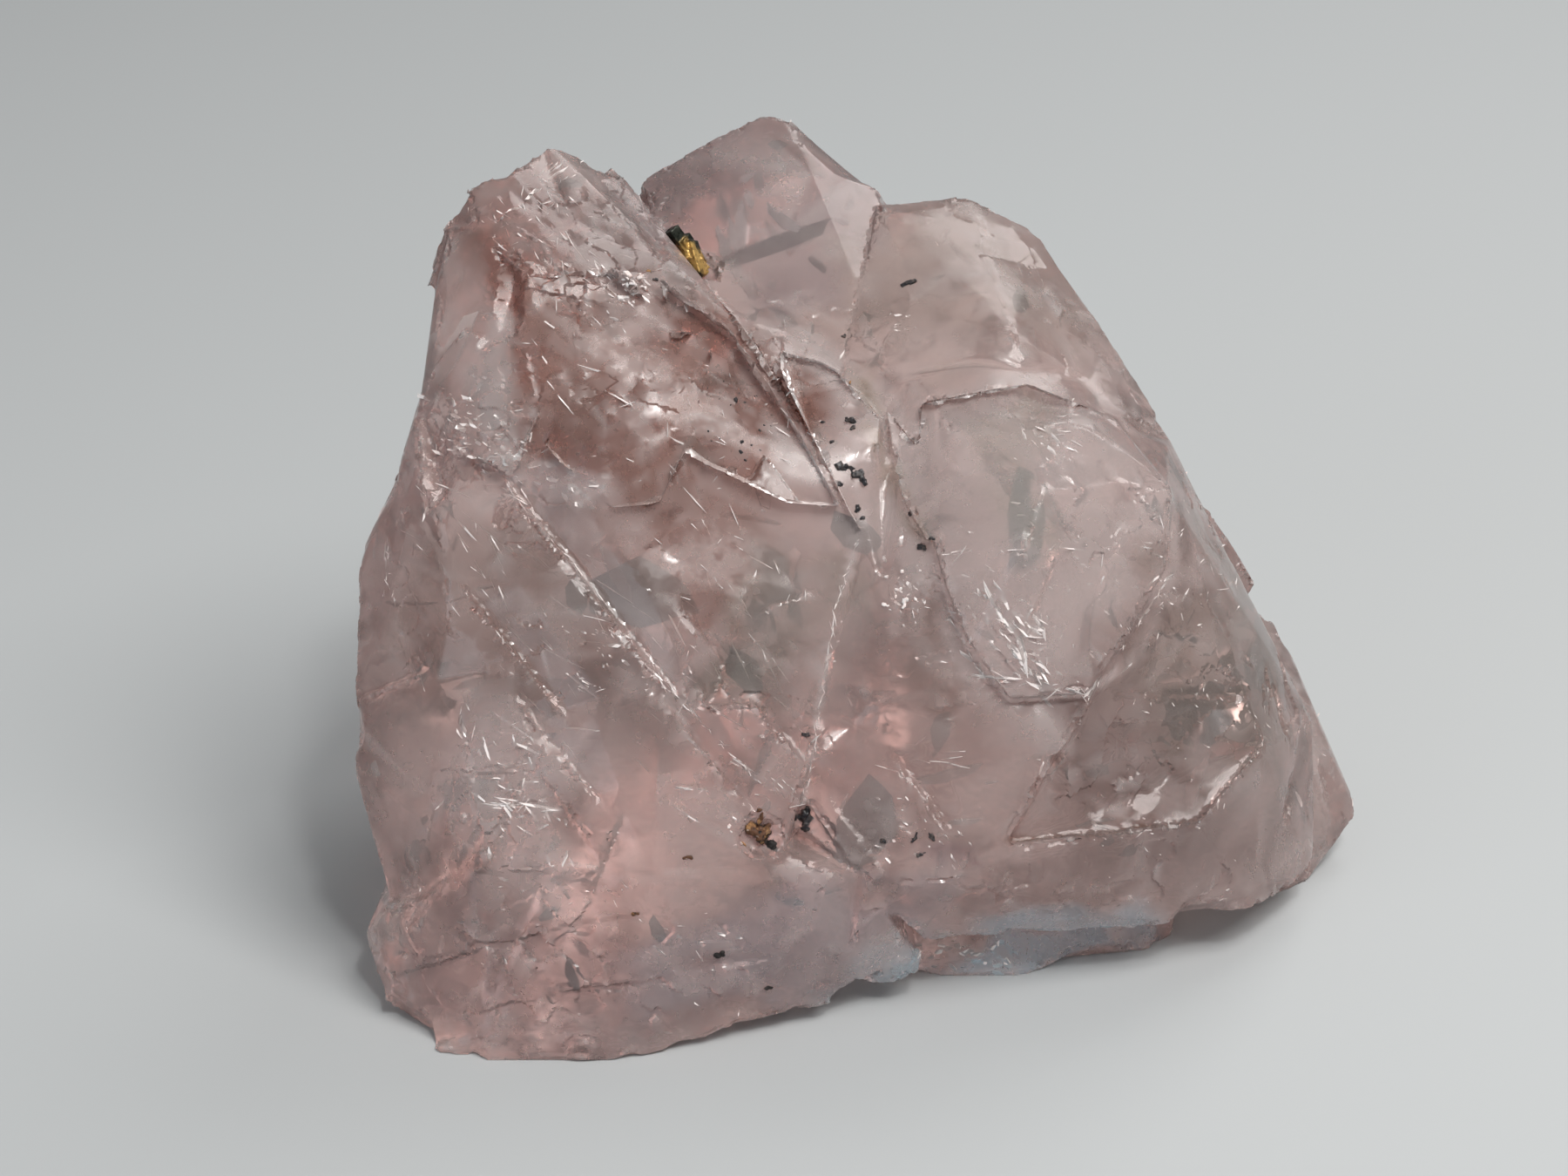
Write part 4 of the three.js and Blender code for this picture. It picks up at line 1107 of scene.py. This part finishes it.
@dataclass(frozen=True)
class RustFinish:
    """Crumbly rust: brown and ochre with black pits, a pale crust and a black side."""

    brown: Colour = (0.10, 0.04, 0.016)
    ochre: Colour = (0.34, 0.18, 0.075)
    black: Colour = (0.012, 0.009, 0.008)
    crust: Colour = (0.72, 0.62, 0.54)
    black_from_mm: float = 0.05
    black_to_mm: float = 0.35
    black_ragged_mm: float = 1.2

    def material(self) -> bpy.types.Material:
        """Make the finish, mottled by three sizes of noise."""
        tree = Tree("rusty_oxide")
        coarse = tree.noise(1500.0)
        middle = tree.noise(3400.0)
        fine = tree.noise(9000.0)
        colour = tree.blend(tree.ramp(coarse, 0.45, 0.55), self.brown, self.ochre)
        colour = tree.blend(tree.ramp(middle, 0.55, 0.62), colour, self.black)
        colour = tree.blend(tree.ramp(middle, 0.36, 0.30), colour, self.crust)
        black_side = Vector((1.0, 0.0, 0.0)) - 0.7 * SIGHT.upward()
        along = tree.uneven(tree.along("rusty_oxide_grain", black_side), fine, self.black_ragged_mm * MM)
        black = tree.ramp(along, self.black_from_mm * MM, self.black_to_mm * MM)
        shader = tree.add("ShaderNodeBsdfPrincipled", {
            "Base Color": tree.blend(black, colour, self.black),
            "Roughness": tree.ramp(fine, 0.3, 0.7, 0.55, 0.9), "Normal": tree.bump(fine, 0.8, 0.05)})
        return tree.finish(shader)


@dataclass(frozen=True)
class BlackFinish:
    """Black mineral with a dull metallic shine and brown dust."""

    black: Colour = (0.016, 0.015, 0.018)
    dust: Colour = (0.10, 0.075, 0.065)

    def material(self) -> bpy.types.Material:
        """Make the finish."""
        tree = Tree("black_mineral")
        dusty = tree.noise(5200.0)
        shader = tree.add("ShaderNodeBsdfPrincipled", {
            "Base Color": tree.blend(tree.ramp(dusty, 0.5, 0.72), self.black, self.dust),
            "Roughness": tree.ramp(dusty, 0.3, 0.7, 0.22, 0.6), "Normal": tree.bump(dusty, 0.6, 0.03)})
        return tree.finish(shader)


@dataclass(frozen=True)
class CrumbFinish:
    """White crushed fluorite, dull, with a touch of the stone's pink."""

    white: Colour = (0.90, 0.86, 0.84)
    pink: Colour = (0.74, 0.60, 0.57)

    def material(self) -> bpy.types.Material:
        """Make the finish."""
        tree = Tree("crushed_white")
        patch = tree.noise(2800.0)
        shader = tree.add("ShaderNodeBsdfPrincipled", {
            "Base Color": tree.blend(tree.ramp(patch, 0.4, 0.65), self.white, self.pink),
            "Roughness": tree.ramp(patch, 0.3, 0.7, 0.2, 0.5)})
        return tree.finish(shader)


class Form(Enum):
    """What the bits of a grain look like."""

    BLOCKY = "blocky"
    CRUMBLY = "crumbly"


@dataclass(frozen=True)
class Grain:
    """One small lump of mineral on the face, placed as it is seen or on its node."""

    right: float
    up: float
    length_mm: float
    width_mm: float
    turn_deg: float = 0.0
    node: str = ""


@dataclass(frozen=True)
class GrainPiece:
    """Grains of one mineral, each grown together from small bits, joined in one piece."""

    name: str
    slot: str
    form: Form
    grains: tuple[Grain, ...]
    finish: SulphideFinish | RustFinish | BlackFinish | CrumbFinish
    bits: int = 7
    voxel_mm: float = 0.05
    kept_share: float = 0.5
    seed: int = 1
    stand_out: float = 0.12
    along_share: Limits = (-0.36, 0.36)
    across_share: Limits = (-0.3, 0.3)
    out_share: Limits = (-0.1, 0.2)
    bit_share: Limits = (0.3, 0.62)
    bit_width: Limits = (0.8, 1.3)
    bit_height: Limits = (0.7, 1.2)
    bit_turn: float = 0.5
    smooth_deg: float = 28.0

    def build(self, surface: StoneSurface) -> bpy.types.Object:
        """Make the grains.

        Args:
            surface: The stone's surface, which carries them.

        Returns:
            The finished piece.
        """
        rng = random.Random(self.seed)
        places = []
        for grain in self.grains:
            places += self.placed_bits(surface, grain, rng)
        piece = joined_primitives(self.name, self.add_bit, places)
        apply_modifier(piece, "REMESH", mode="VOXEL", voxel_size=self.voxel_mm * MM, adaptivity=0.0)
        apply_modifier(piece, "TRIANGULATE")
        apply_modifier(piece, "DECIMATE", ratio=self.kept_share)
        bpy.ops.object.shade_smooth_by_angle(angle=math.radians(self.smooth_deg))
        piece.data.materials.append(self.finish.material())
        return piece

    def placed_bits(self, surface: StoneSurface, grain: Grain, rng: random.Random) -> list[dict]:
        """Work out where a grain's bits go.

        Args:
            surface: The stone's surface.
            grain: The grain.
            rng: The source of chance.

        Returns:
            Each bit's location, rotation and scale.
        """
        met = surface.seen(grain.right, grain.up)
        if grain.node:
            middle, outward, _, _ = surface.tree.find_nearest(node_middle(grain.node))
            middle = middle + outward * self.stand_out * grain.width_mm
        elif met is None:
            return []
        else:
            middle, outward = met
        turn = math.radians(grain.turn_deg)
        along = Vector((math.cos(turn), 0.0, 0.0)) + SIGHT.upward() * math.sin(turn)
        across = outward.cross(along).normalized()
        along = across.cross(outward).normalized()
        basis = Matrix((along, across, outward)).transposed()
        placed = []
        for _ in range(self.bits):
            offset = along * rng.uniform(*self.along_share) * grain.length_mm
            offset += across * rng.uniform(*self.across_share) * grain.width_mm
            offset += outward * rng.uniform(*self.out_share) * grain.width_mm
            share = rng.uniform(*self.bit_share)
            size = Vector((grain.length_mm * share, grain.width_mm * share * rng.uniform(*self.bit_width),
                           grain.width_mm * share * rng.uniform(*self.bit_height)))
            spin = Matrix.Rotation(rng.gauss(0.0, self.bit_turn), 3, random_vector(rng, 1.0))
            placed.append({"location": (middle + offset) * MM, "rotation": (spin @ basis).to_euler(),
                           "scale": size * MM})
        return placed

    def add_bit(self, **place: object) -> None:
        """Add one bit of the grains' form."""
        if self.form is Form.BLOCKY:
            bpy.ops.mesh.primitive_cube_add(size=1.0, **place)
        else:
            bpy.ops.mesh.primitive_ico_sphere_add(subdivisions=1, radius=0.5, **place)


def scattered(right: Limits, up: Limits, count: int, size_mm: Limits, seed: int) -> tuple[Grain, ...]:
    """Scatter small grains over a part of the face, as it is seen.

    Args:
        right: The part's left and right edges in the picture.
        up: Its lower and upper edges.
        count: How many grains.
        size_mm: The smallest and the largest.
        seed: A whole number that picks the places.

    Returns:
        The grains.
    """
    rng = random.Random(seed)
    grains = []
    for _ in range(count):
        length = between(size_mm, rng.random() ** 2.0)
        grains.append(Grain(rng.uniform(*right), rng.uniform(*up), length, length * rng.uniform(0.5, 0.9),
                            rng.uniform(0.0, 180.0)))
    return tuple(grains)


BLACK_SPECKS = (
    Grain(0.0, 8.0, 0.4, 0.3), Grain(-1.5, 8.3, 0.28, 0.2), Grain(-1.1, 7.3, 0.22, 0.2),
    Grain(-0.6, 5.2, 0.34, 0.25), Grain(0.2, 3.9, 0.5, 0.3, 60.0), Grain(0.4, 3.5, 0.3, 0.25),
    Grain(2.8, 3.7, 0.3, 0.25), Grain(3.4, 2.0, 0.42, 0.3), Grain(3.9, 2.5, 0.34, 0.22),
    Grain(-0.5, 12.6, 0.3, 0.25), Grain(2.7, 15.2, 0.8, 0.3, 40.0), Grain(-2.4, -7.4, 0.36, 0.3),
    Grain(1.5, -12.7, 0.38, 0.3), Grain(3.0, -12.5, 0.7, 0.2, 70.0), Grain(3.9, -12.4, 0.6, 0.2, -60.0),
    Grain(3.4, -13.3, 0.5, 0.2, 10.0), Grain(-9.9, 15.4, 0.3, 0.2),
)
BROWN_SPOTS = (
    Grain(-8.3, -13.4, 0.5, 0.4), Grain(-10.9, -16.3, 0.4, 0.3), Grain(-6.7, -18.3, 0.6, 0.4),
    Grain(-4.3, -20.0, 0.5, 0.3), Grain(-10.2, 15.8, 0.4, 0.3), Grain(-0.2, 10.2, 0.5, 0.2, -70.0),
)
GRAIN_PIECES = (
    GrainPiece("golden_sulphide", "golden_sulphide", Form.BLOCKY,
               (Grain(-7.8, 16.4, 3.4, 1.2, -45.0, "golden_sulphide_grain"),),
               SulphideFinish(), bits=13, voxel_mm=0.05, seed=4, stand_out=0.45),
    GrainPiece("rusty_lump", "rusty_oxide", Form.CRUMBLY,
               (Grain(-4.6, -12.4, 1.3, 1.0, 0.0, "rusty_oxide_grain"), Grain(-4.9, -12.1, 1.1, 0.9),
                Grain(-5.2, -11.8, 0.7, 0.5), Grain(-4.65, -11.5, 0.7, 0.3, 80.0),
                Grain(-4.7, -11.1, 0.35, 0.25), Grain(-4.3, -12.0, 0.9, 0.7),
                Grain(-5.5, -12.8, 0.5, 0.2), Grain(-4.2, -12.8, 1.0, 0.7, -20.0)),
               RustFinish(), bits=9, voxel_mm=0.04, seed=6),
    GrainPiece("brown_spots", "rusty_oxide", Form.CRUMBLY, BROWN_SPOTS, RustFinish(), voxel_mm=0.04, seed=7),
    GrainPiece("black_cluster_lower", "black_mineral", Form.BLOCKY,
               (Grain(-2.6, -11.4, 0.8, 0.6, 60.0, "black_grain_lower"), Grain(-2.85, -11.4, 1.0, 0.34, 15.0),
                Grain(-2.35, -11.1, 0.9, 0.4, 75.0), Grain(-2.4, -11.75, 0.9, 0.34, -78.0)),
               BlackFinish(), bits=6, voxel_mm=0.04, seed=8),
    GrainPiece("black_cluster_middle", "black_mineral", Form.BLOCKY,
               (Grain(0.3, 5.8, 0.6, 0.45, 0.0, "black_grain_middle"), Grain(0.45, 5.55, 0.7, 0.4, -60.0),
                Grain(-0.1, 6.0, 0.5, 0.2), Grain(-0.5, 6.05, 0.6, 0.45, 20.0)),
               BlackFinish(), bits=6, voxel_mm=0.04, seed=9),
    GrainPiece("black_cluster_upper", "black_mineral", Form.CRUMBLY,
               (Grain(0.1, 9.0, 0.7, 0.6, 0.0, "black_grain_upper"),), BlackFinish(), bits=6, seed=10),
    GrainPiece("black_specks", "black_mineral", Form.BLOCKY,
               BLACK_SPECKS + scattered((-7.4, -3.9), (6.3, 11.3), 26, (0.12, 0.3), 14),
               BlackFinish(), bits=4, voxel_mm=0.03, seed=11),
    GrainPiece("white_crumbs", "fluorite", Form.BLOCKY,
               scattered((1.6, 3.6), (-1.2, 1.2), 14, (0.15, 0.5), 15)
               + scattered((-11.7, -10.2), (14.2, 15.8), 18, (0.2, 0.6), 16)
               + scattered((-6.4, -5.2), (-12.9, -11.5), 6, (0.12, 0.3), 17)
               + scattered((1.0, 5.4), (-13.5, -10.0), 10, (0.1, 0.25), 18),
               CrumbFinish(), bits=3, voxel_mm=0.04, seed=12),
)


@dataclass
class FluoriteBody:
    """The stone itself: the frame's body with the fine relief of its cleavage."""

    node: str = "fluorite_body"
    name: str = "fluorite_stone"
    weld_mm: float = 0.001
    voxel_mm: float = 0.17
    most_triangles: int = 158000
    relief: tuple[BlockRelief, ...] = (
        BlockRelief((7.0, 5.0, 6.5, 6.0), 0.16, 0.35, 11),
        BlockRelief((9.0, 1.3, 11.0, 12.0), 0.10, 0.25, 23),
        BlockRelief((2.4, 2.0, 2.6, 2.2), 0.14, 0.18, 37),
        BlockRelief((1.1, 0.9, 1.0, 1.2), 0.10, 0.14, 41),
        streaked(-15.0, 17.5, (5.0, 3.8), (4.0, 0.5, 5.0, 3.0), 0.30, 61),
        streaked(-14.0, 16.0, (5.0, 3.0), (2.0, 1.4, 2.6, 1.8), 0.30, 71),
        streaked(-19.0, 7.5, (3.2, 2.2), (3.0, 0.9, 1.2, 2.5), 0.30, 62),
        streaked(10.0, 7.0, (1.8, 1.4), (2.0, 0.5, 1.6, 1.2), 0.22, 63),
        streaked(3.0, 0.0, (1.6, 1.8), (1.0, 0.7, 0.6, 0.8), 0.20, 64),
        streaked(3.0, -12.2, (3.0, 1.8), (1.2, 0.9, 0.8, 0.9), 0.20, 65),
        streaked(13.0, -8.5, (3.8, 3.2), (3.0, 2.2, 1.8, 2.4), 0.35, 66),
        streaked(8.6, -2.8, (2.0, 2.2), (3.0, 0.5, 2.0, 3.0), 0.20, 67),
        streaked(-17.5, -10.0, (2.8, 4.0), (3.0, 4.0, 3.0, 0.6), 0.15, 68),
        streaked(4.0, -6.0, (4.0, 3.5), (4.0, 6.0, 5.0, 0.5), 0.08, 69),
        streaked(18.5, -2.0, (4.5, 7.0), (4.0, 0.8, 3.0, 2.4), 0.12, 70),
        streaked(-15.0, -19.0, (11.0, 4.5), (1.7, 1.4, 1.9, 1.5), 0.22, 72),
        streaked(14.0, -15.0, (9.0, 3.5), (2.4, 2.0, 2.8, 2.2), 0.16, 73),
    )
    chip_mm: float = 0.34
    chip_cell_mm: float = 0.9
    chip_seed: int = 53
    ridge_passes: int = 6
    ridge_from_to_mm: Limits = (0.002, 0.012)
    rest_mm: float = 0.3
    smooth_deg: float = 15.0
    smooth_step_mm: float = 0.25
    smooth_steps: int = 16
    smooth_reach_mm: float = 1.3
    smooth_most_mm: float = 1.5
    smooth_back_mm: float = -12.0
    smooth_facing: float = 0.15
    smooth_margin_mm: float = 1.0
    smooth_zones: tuple[Zone, ...] = (
        Zone(-8.5, 8.5, 0.0, (11.0, 7.5, 14.0), turn_deg=-20.0),
        Zone(-3.0, 4.5, 0.0, (5.0, 6.0, 14.0)),
        Zone(7.0, 10.0, 0.0, (5.5, 2.0, 16.0)),
        Zone(3.3, 8.2, 0.0, (1.6, 3.4, 16.0)),
    )
    finish: FluoriteFinish = field(default_factory=FluoriteFinish)
    cracks: Cracks = field(default_factory=Cracks)
    surface: StoneSurface = field(init=False)

    def build(self) -> bpy.types.Object:
        """Copy the frame's body, give it its relief and dress it.

        Returns:
            The finished stone.
        """
        stone = frame["nodes"][self.node].copy()
        stone.data = stone.data.copy()
        stone.name = stone.data.name = self.name
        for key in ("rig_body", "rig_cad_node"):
            del stone[key]
        stone.parent = None
        bpy.context.scene.collection.objects.link(stone)
        edit_all(stone, bpy.ops.mesh.remove_doubles, threshold=self.weld_mm * MM)
        apply_modifier(stone, "REMESH", mode="VOXEL", voxel_size=self.voxel_mm * MM, adaptivity=0.0)
        self.even_out(stone)
        self.carve(stone)
        share = self.most_triangles / (2.0 * len(stone.data.polygons))
        apply_modifier(stone, "TRIANGULATE")
        apply_modifier(stone, "DECIMATE", ratio=min(1.0, share))
        self.finish.store(stone.data)
        stone.data.materials.clear()
        stone.data.materials.append(self.finish.material())
        self.surface = StoneSurface(stone)
        self.drop_loose_bits(stone)
        pockets = self.cracks.build(self.surface)
        pockets.data.materials.append(self.finish.crack_material())
        activate(stone)
        pockets.select_set(True)
        bpy.ops.object.join()
        bpy.ops.object.shade_smooth_by_angle(angle=math.radians(self.smooth_deg))
        return stone

    def drop_loose_bits(self, stone: bpy.types.Object) -> None:
        """Delete the tiny bits that the relief has cut off, and keep what hangs together with the foot."""
        lowest = int(vertex_array(stone.data)[:, 2].argmin())
        activate(stone)
        bpy.ops.object.mode_set(mode="EDIT")
        bpy.ops.mesh.select_all(action="DESELECT")
        bpy.ops.object.mode_set(mode="OBJECT")
        stone.data.vertices[lowest].select = True
        bpy.ops.object.mode_set(mode="EDIT")
        bpy.ops.mesh.select_linked()
        bpy.ops.mesh.select_all(action="INVERT")
        bpy.ops.mesh.delete(type="VERT")
        bpy.ops.object.mode_set(mode="OBJECT")

    def even_out(self, stone: bpy.types.Object) -> None:
        """Fill the narrow grooves of the brown hollow, whose face is smooth.

        Args:
            stone: The closed, even mesh.
        """
        mesh = stone.data
        points = vertex_array(mesh) / MM
        right, up, toward = SIGHT.shown(points)
        share = np.maximum.reduce([zone.share(points) for zone in self.smooth_zones])
        facing = vertex_array(mesh, "normal") @ np.array(SIGHT.toward())
        front = (facing > self.smooth_facing) & (toward > self.smooth_back_mm)
        low = np.array([right.min(), up.min()]) - self.smooth_margin_mm
        place = (np.stack([right, up], axis=1) - low) / self.smooth_step_mm
        cell = place.astype(int)
        shape = tuple(cell.max(axis=0) + 2)
        index = cell[:, 0] * shape[1] + cell[:, 1]
        size = shape[0] * shape[1]
        total = np.bincount(index[front], toward[front], size).reshape(shape)
        count = np.bincount(index[front], minlength=size).reshape(shape).astype(float)
        span = np.arange(-self.smooth_steps, self.smooth_steps + 1)
        kernel = np.exp(-0.5 * (span * self.smooth_step_mm / self.smooth_reach_mm) ** 2)
        for axis in range(2):
            total = np.apply_along_axis(np.convolve, axis, total, kernel, "same")
            count = np.apply_along_axis(np.convolve, axis, count, kernel, "same")
        level = total / np.maximum(count, 1e-6)
        part = place - 0.5 - np.floor(place - 0.5)
        first = np.clip(np.floor(place - 0.5).astype(int), 0, None)
        mean = np.zeros(len(points))
        for step in ((0, 0), (0, 1), (1, 0), (1, 1)):
            weight = np.prod(np.where(step, part, 1.0 - part), axis=1)
            mean += weight * level[first[:, 0] + step[0], first[:, 1] + step[1]]
        gap = np.clip(mean - toward, -self.smooth_most_mm, self.smooth_most_mm)
        points += np.array(SIGHT.toward()) * (share * front * gap)[:, None]
        mesh.vertices.foreach_set("co", (points * MM).ravel())
        mesh.update()

    def carve(self, stone: bpy.types.Object) -> None:
        """Break small cleavage blocks out of the faces and chips off the edges.

        Args:
            stone: The closed, even mesh.
        """
        mesh = stone.data
        points = vertex_array(mesh) / MM
        normals = vertex_array(mesh, "normal")
        depth = np.zeros(len(points))
        for level in self.relief:
            depth += level.depth(points)
        for seam in SEAMS:
            depth -= seam.rise_mm * seam.share(points, normals)
        ridge = smooth_step(convexity(mesh, self.ridge_passes), *self.ridge_from_to_mm)
        chips = np.floor(points @ CLEAVAGE.T / self.chip_cell_mm)
        depth += self.chip_mm * ridge * lattice_random(chips, self.chip_seed) ** 2
        depth[points[:, 2] < self.rest_mm] = 0.0
        points -= normals * depth[:, None]
        mesh.vertices.foreach_set("co", (points * MM).ravel())
        mesh.update()


@dataclass(frozen=True)
class FloorFinish:
    """A plain pale floor."""

    tint: Colour = (0.50, 0.53, 0.54)

    def material(self) -> bpy.types.Material:
        """Make the finish."""
        tree = Tree("floor_plain")
        shader = tree.add("ShaderNodeBsdfPrincipled", {"Base Color": (*self.tint, 1.0), "Roughness": 0.7})
        return tree.finish(shader)


@dataclass(frozen=True)
class SoftLight:
    """One soft light, placed around the stone."""

    name: str
    azimuth_deg: float
    height_deg: float
    distance_mm: float
    side_mm: float
    power_w: float
    tint: Colour


@dataclass
class Studio:
    """The floor, the soft lights and the camera."""

    lights: tuple[SoftLight, ...] = (
        SoftLight("key_light", 50.0, 57.0, 420.0, 220.0, 1.35, (1.0, 0.95, 0.92)),
        SoftLight("back_light", 148.0, 42.0, 380.0, 200.0, 0.4, (1.0, 0.97, 0.95)),
        SoftLight("fill_light", -40.0, 14.0, 450.0, 260.0, 0.32, (0.82, 0.91, 1.0)),
        SoftLight("small_light", 20.0, 55.0, 350.0, 30.0, 0.22, (1.0, 0.98, 0.96)),
    )
    sky: Colour = (0.90, 0.90, 0.90)
    sky_strength: float = 0.28
    floor_side_m: float = 3.0
    floor_gap_mm: float = 0.02
    aim_height_mm: float = 18.0

    def build(self) -> None:
        """Make all of it."""
        self.floor()
        for light in self.lights:
            self.light(light)
        self.camera()
        world = bpy.data.worlds.new("studio")
        world.use_nodes = True
        background = world.node_tree.nodes["Background"]
        background.inputs["Color"].default_value = (*self.sky, 1.0)
        background.inputs["Strength"].default_value = self.sky_strength
        bpy.context.scene.world = world
        bpy.context.scene.view_settings.view_transform = "Standard"
        self.light_paths()

    def light_paths(self) -> None:
        """Keep enough bounces for a clear body with flakes inside it, and no more."""
        paths = bpy.context.scene.cycles
        paths.max_bounces = 16
        paths.diffuse_bounces = 2
        paths.glossy_bounces = 6
        paths.transmission_bounces = 16

    def floor(self) -> None:
        """Lay the floor just under the foot."""
        bpy.ops.object.select_all(action="DESELECT")
        bpy.ops.mesh.primitive_plane_add(size=self.floor_side_m, location=(0.0, 0.0, -self.floor_gap_mm * MM))
        floor = bpy.context.active_object
        floor.name = "floor"
        floor.data.materials.append(FloorFinish().material())

    def light(self, light: SoftLight) -> None:
        """Place one soft light, facing the stone."""
        data = bpy.data.lights.new(light.name, "AREA")
        data.shape = "SQUARE"
        data.size = light.side_mm * MM
        data.energy = light.power_w
        data.color = light.tint
        lamp = bpy.data.objects.new(light.name, data)
        bpy.context.scene.collection.objects.link(lamp)
        azimuth, height = math.radians(light.azimuth_deg), math.radians(light.height_deg)
        outward = Vector((math.sin(azimuth) * math.cos(height),
                          -math.cos(azimuth) * math.cos(height), math.sin(height)))
        lamp.location = Vector((0.0, 0.0, self.aim_height_mm * MM)) + outward * light.distance_mm * MM
        lamp.rotation_mode = "QUATERNION"
        lamp.rotation_quaternion = outward.to_track_quat("Z", "Y")

    def camera(self) -> None:
        """Set the camera on the photograph's line of sight."""
        data = bpy.data.cameras.new("camera")
        data.lens = SIGHT.lens_mm
        data.sensor_width = SIGHT.sensor_mm
        data.shift_x = -(SIGHT.middle_pixel - IMAGE_WIDTH / 2) / IMAGE_WIDTH
        data.clip_start = 1.0 * MM
        camera = bpy.data.objects.new("camera", data)
        bpy.context.scene.collection.objects.link(camera)
        camera.location = SIGHT.eye() * MM
        camera.rotation_mode = "QUATERNION"
        camera.rotation_quaternion = SIGHT.toward().to_track_quat("Z", "Y")
        bpy.context.scene.camera = camera


def hand_over(piece: bpy.types.Object, slot: str, *nodes: str) -> None:
    """Let a piece ride with the stone, and report it.

    Args:
        piece: The finished piece.
        slot: The record's material slot; not used.
        *nodes: The frame's nodes that it stands for.
    """
    if nodes:
        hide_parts(*nodes)
    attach(piece, "root")
    log.info("%s: %d faces", piece.name, len(piece.data.polygons))


def main() -> None:
    """Build every piece in order and report it."""
    logging.basicConfig(level=logging.INFO, format="%(message)s")
    body = FluoriteBody()
    hand_over(body.build(), "fluorite", FluoriteBody.node)
    hand_over(Flakes().build(body.surface), "fluorite")
    for grains in GRAIN_PIECES:
        nodes = [grain.node for grain in grains.grains if grain.node]
        hand_over(grains.build(body.surface), grains.slot, *nodes)
    Studio().build()


if __name__ == "__main__":
    main()
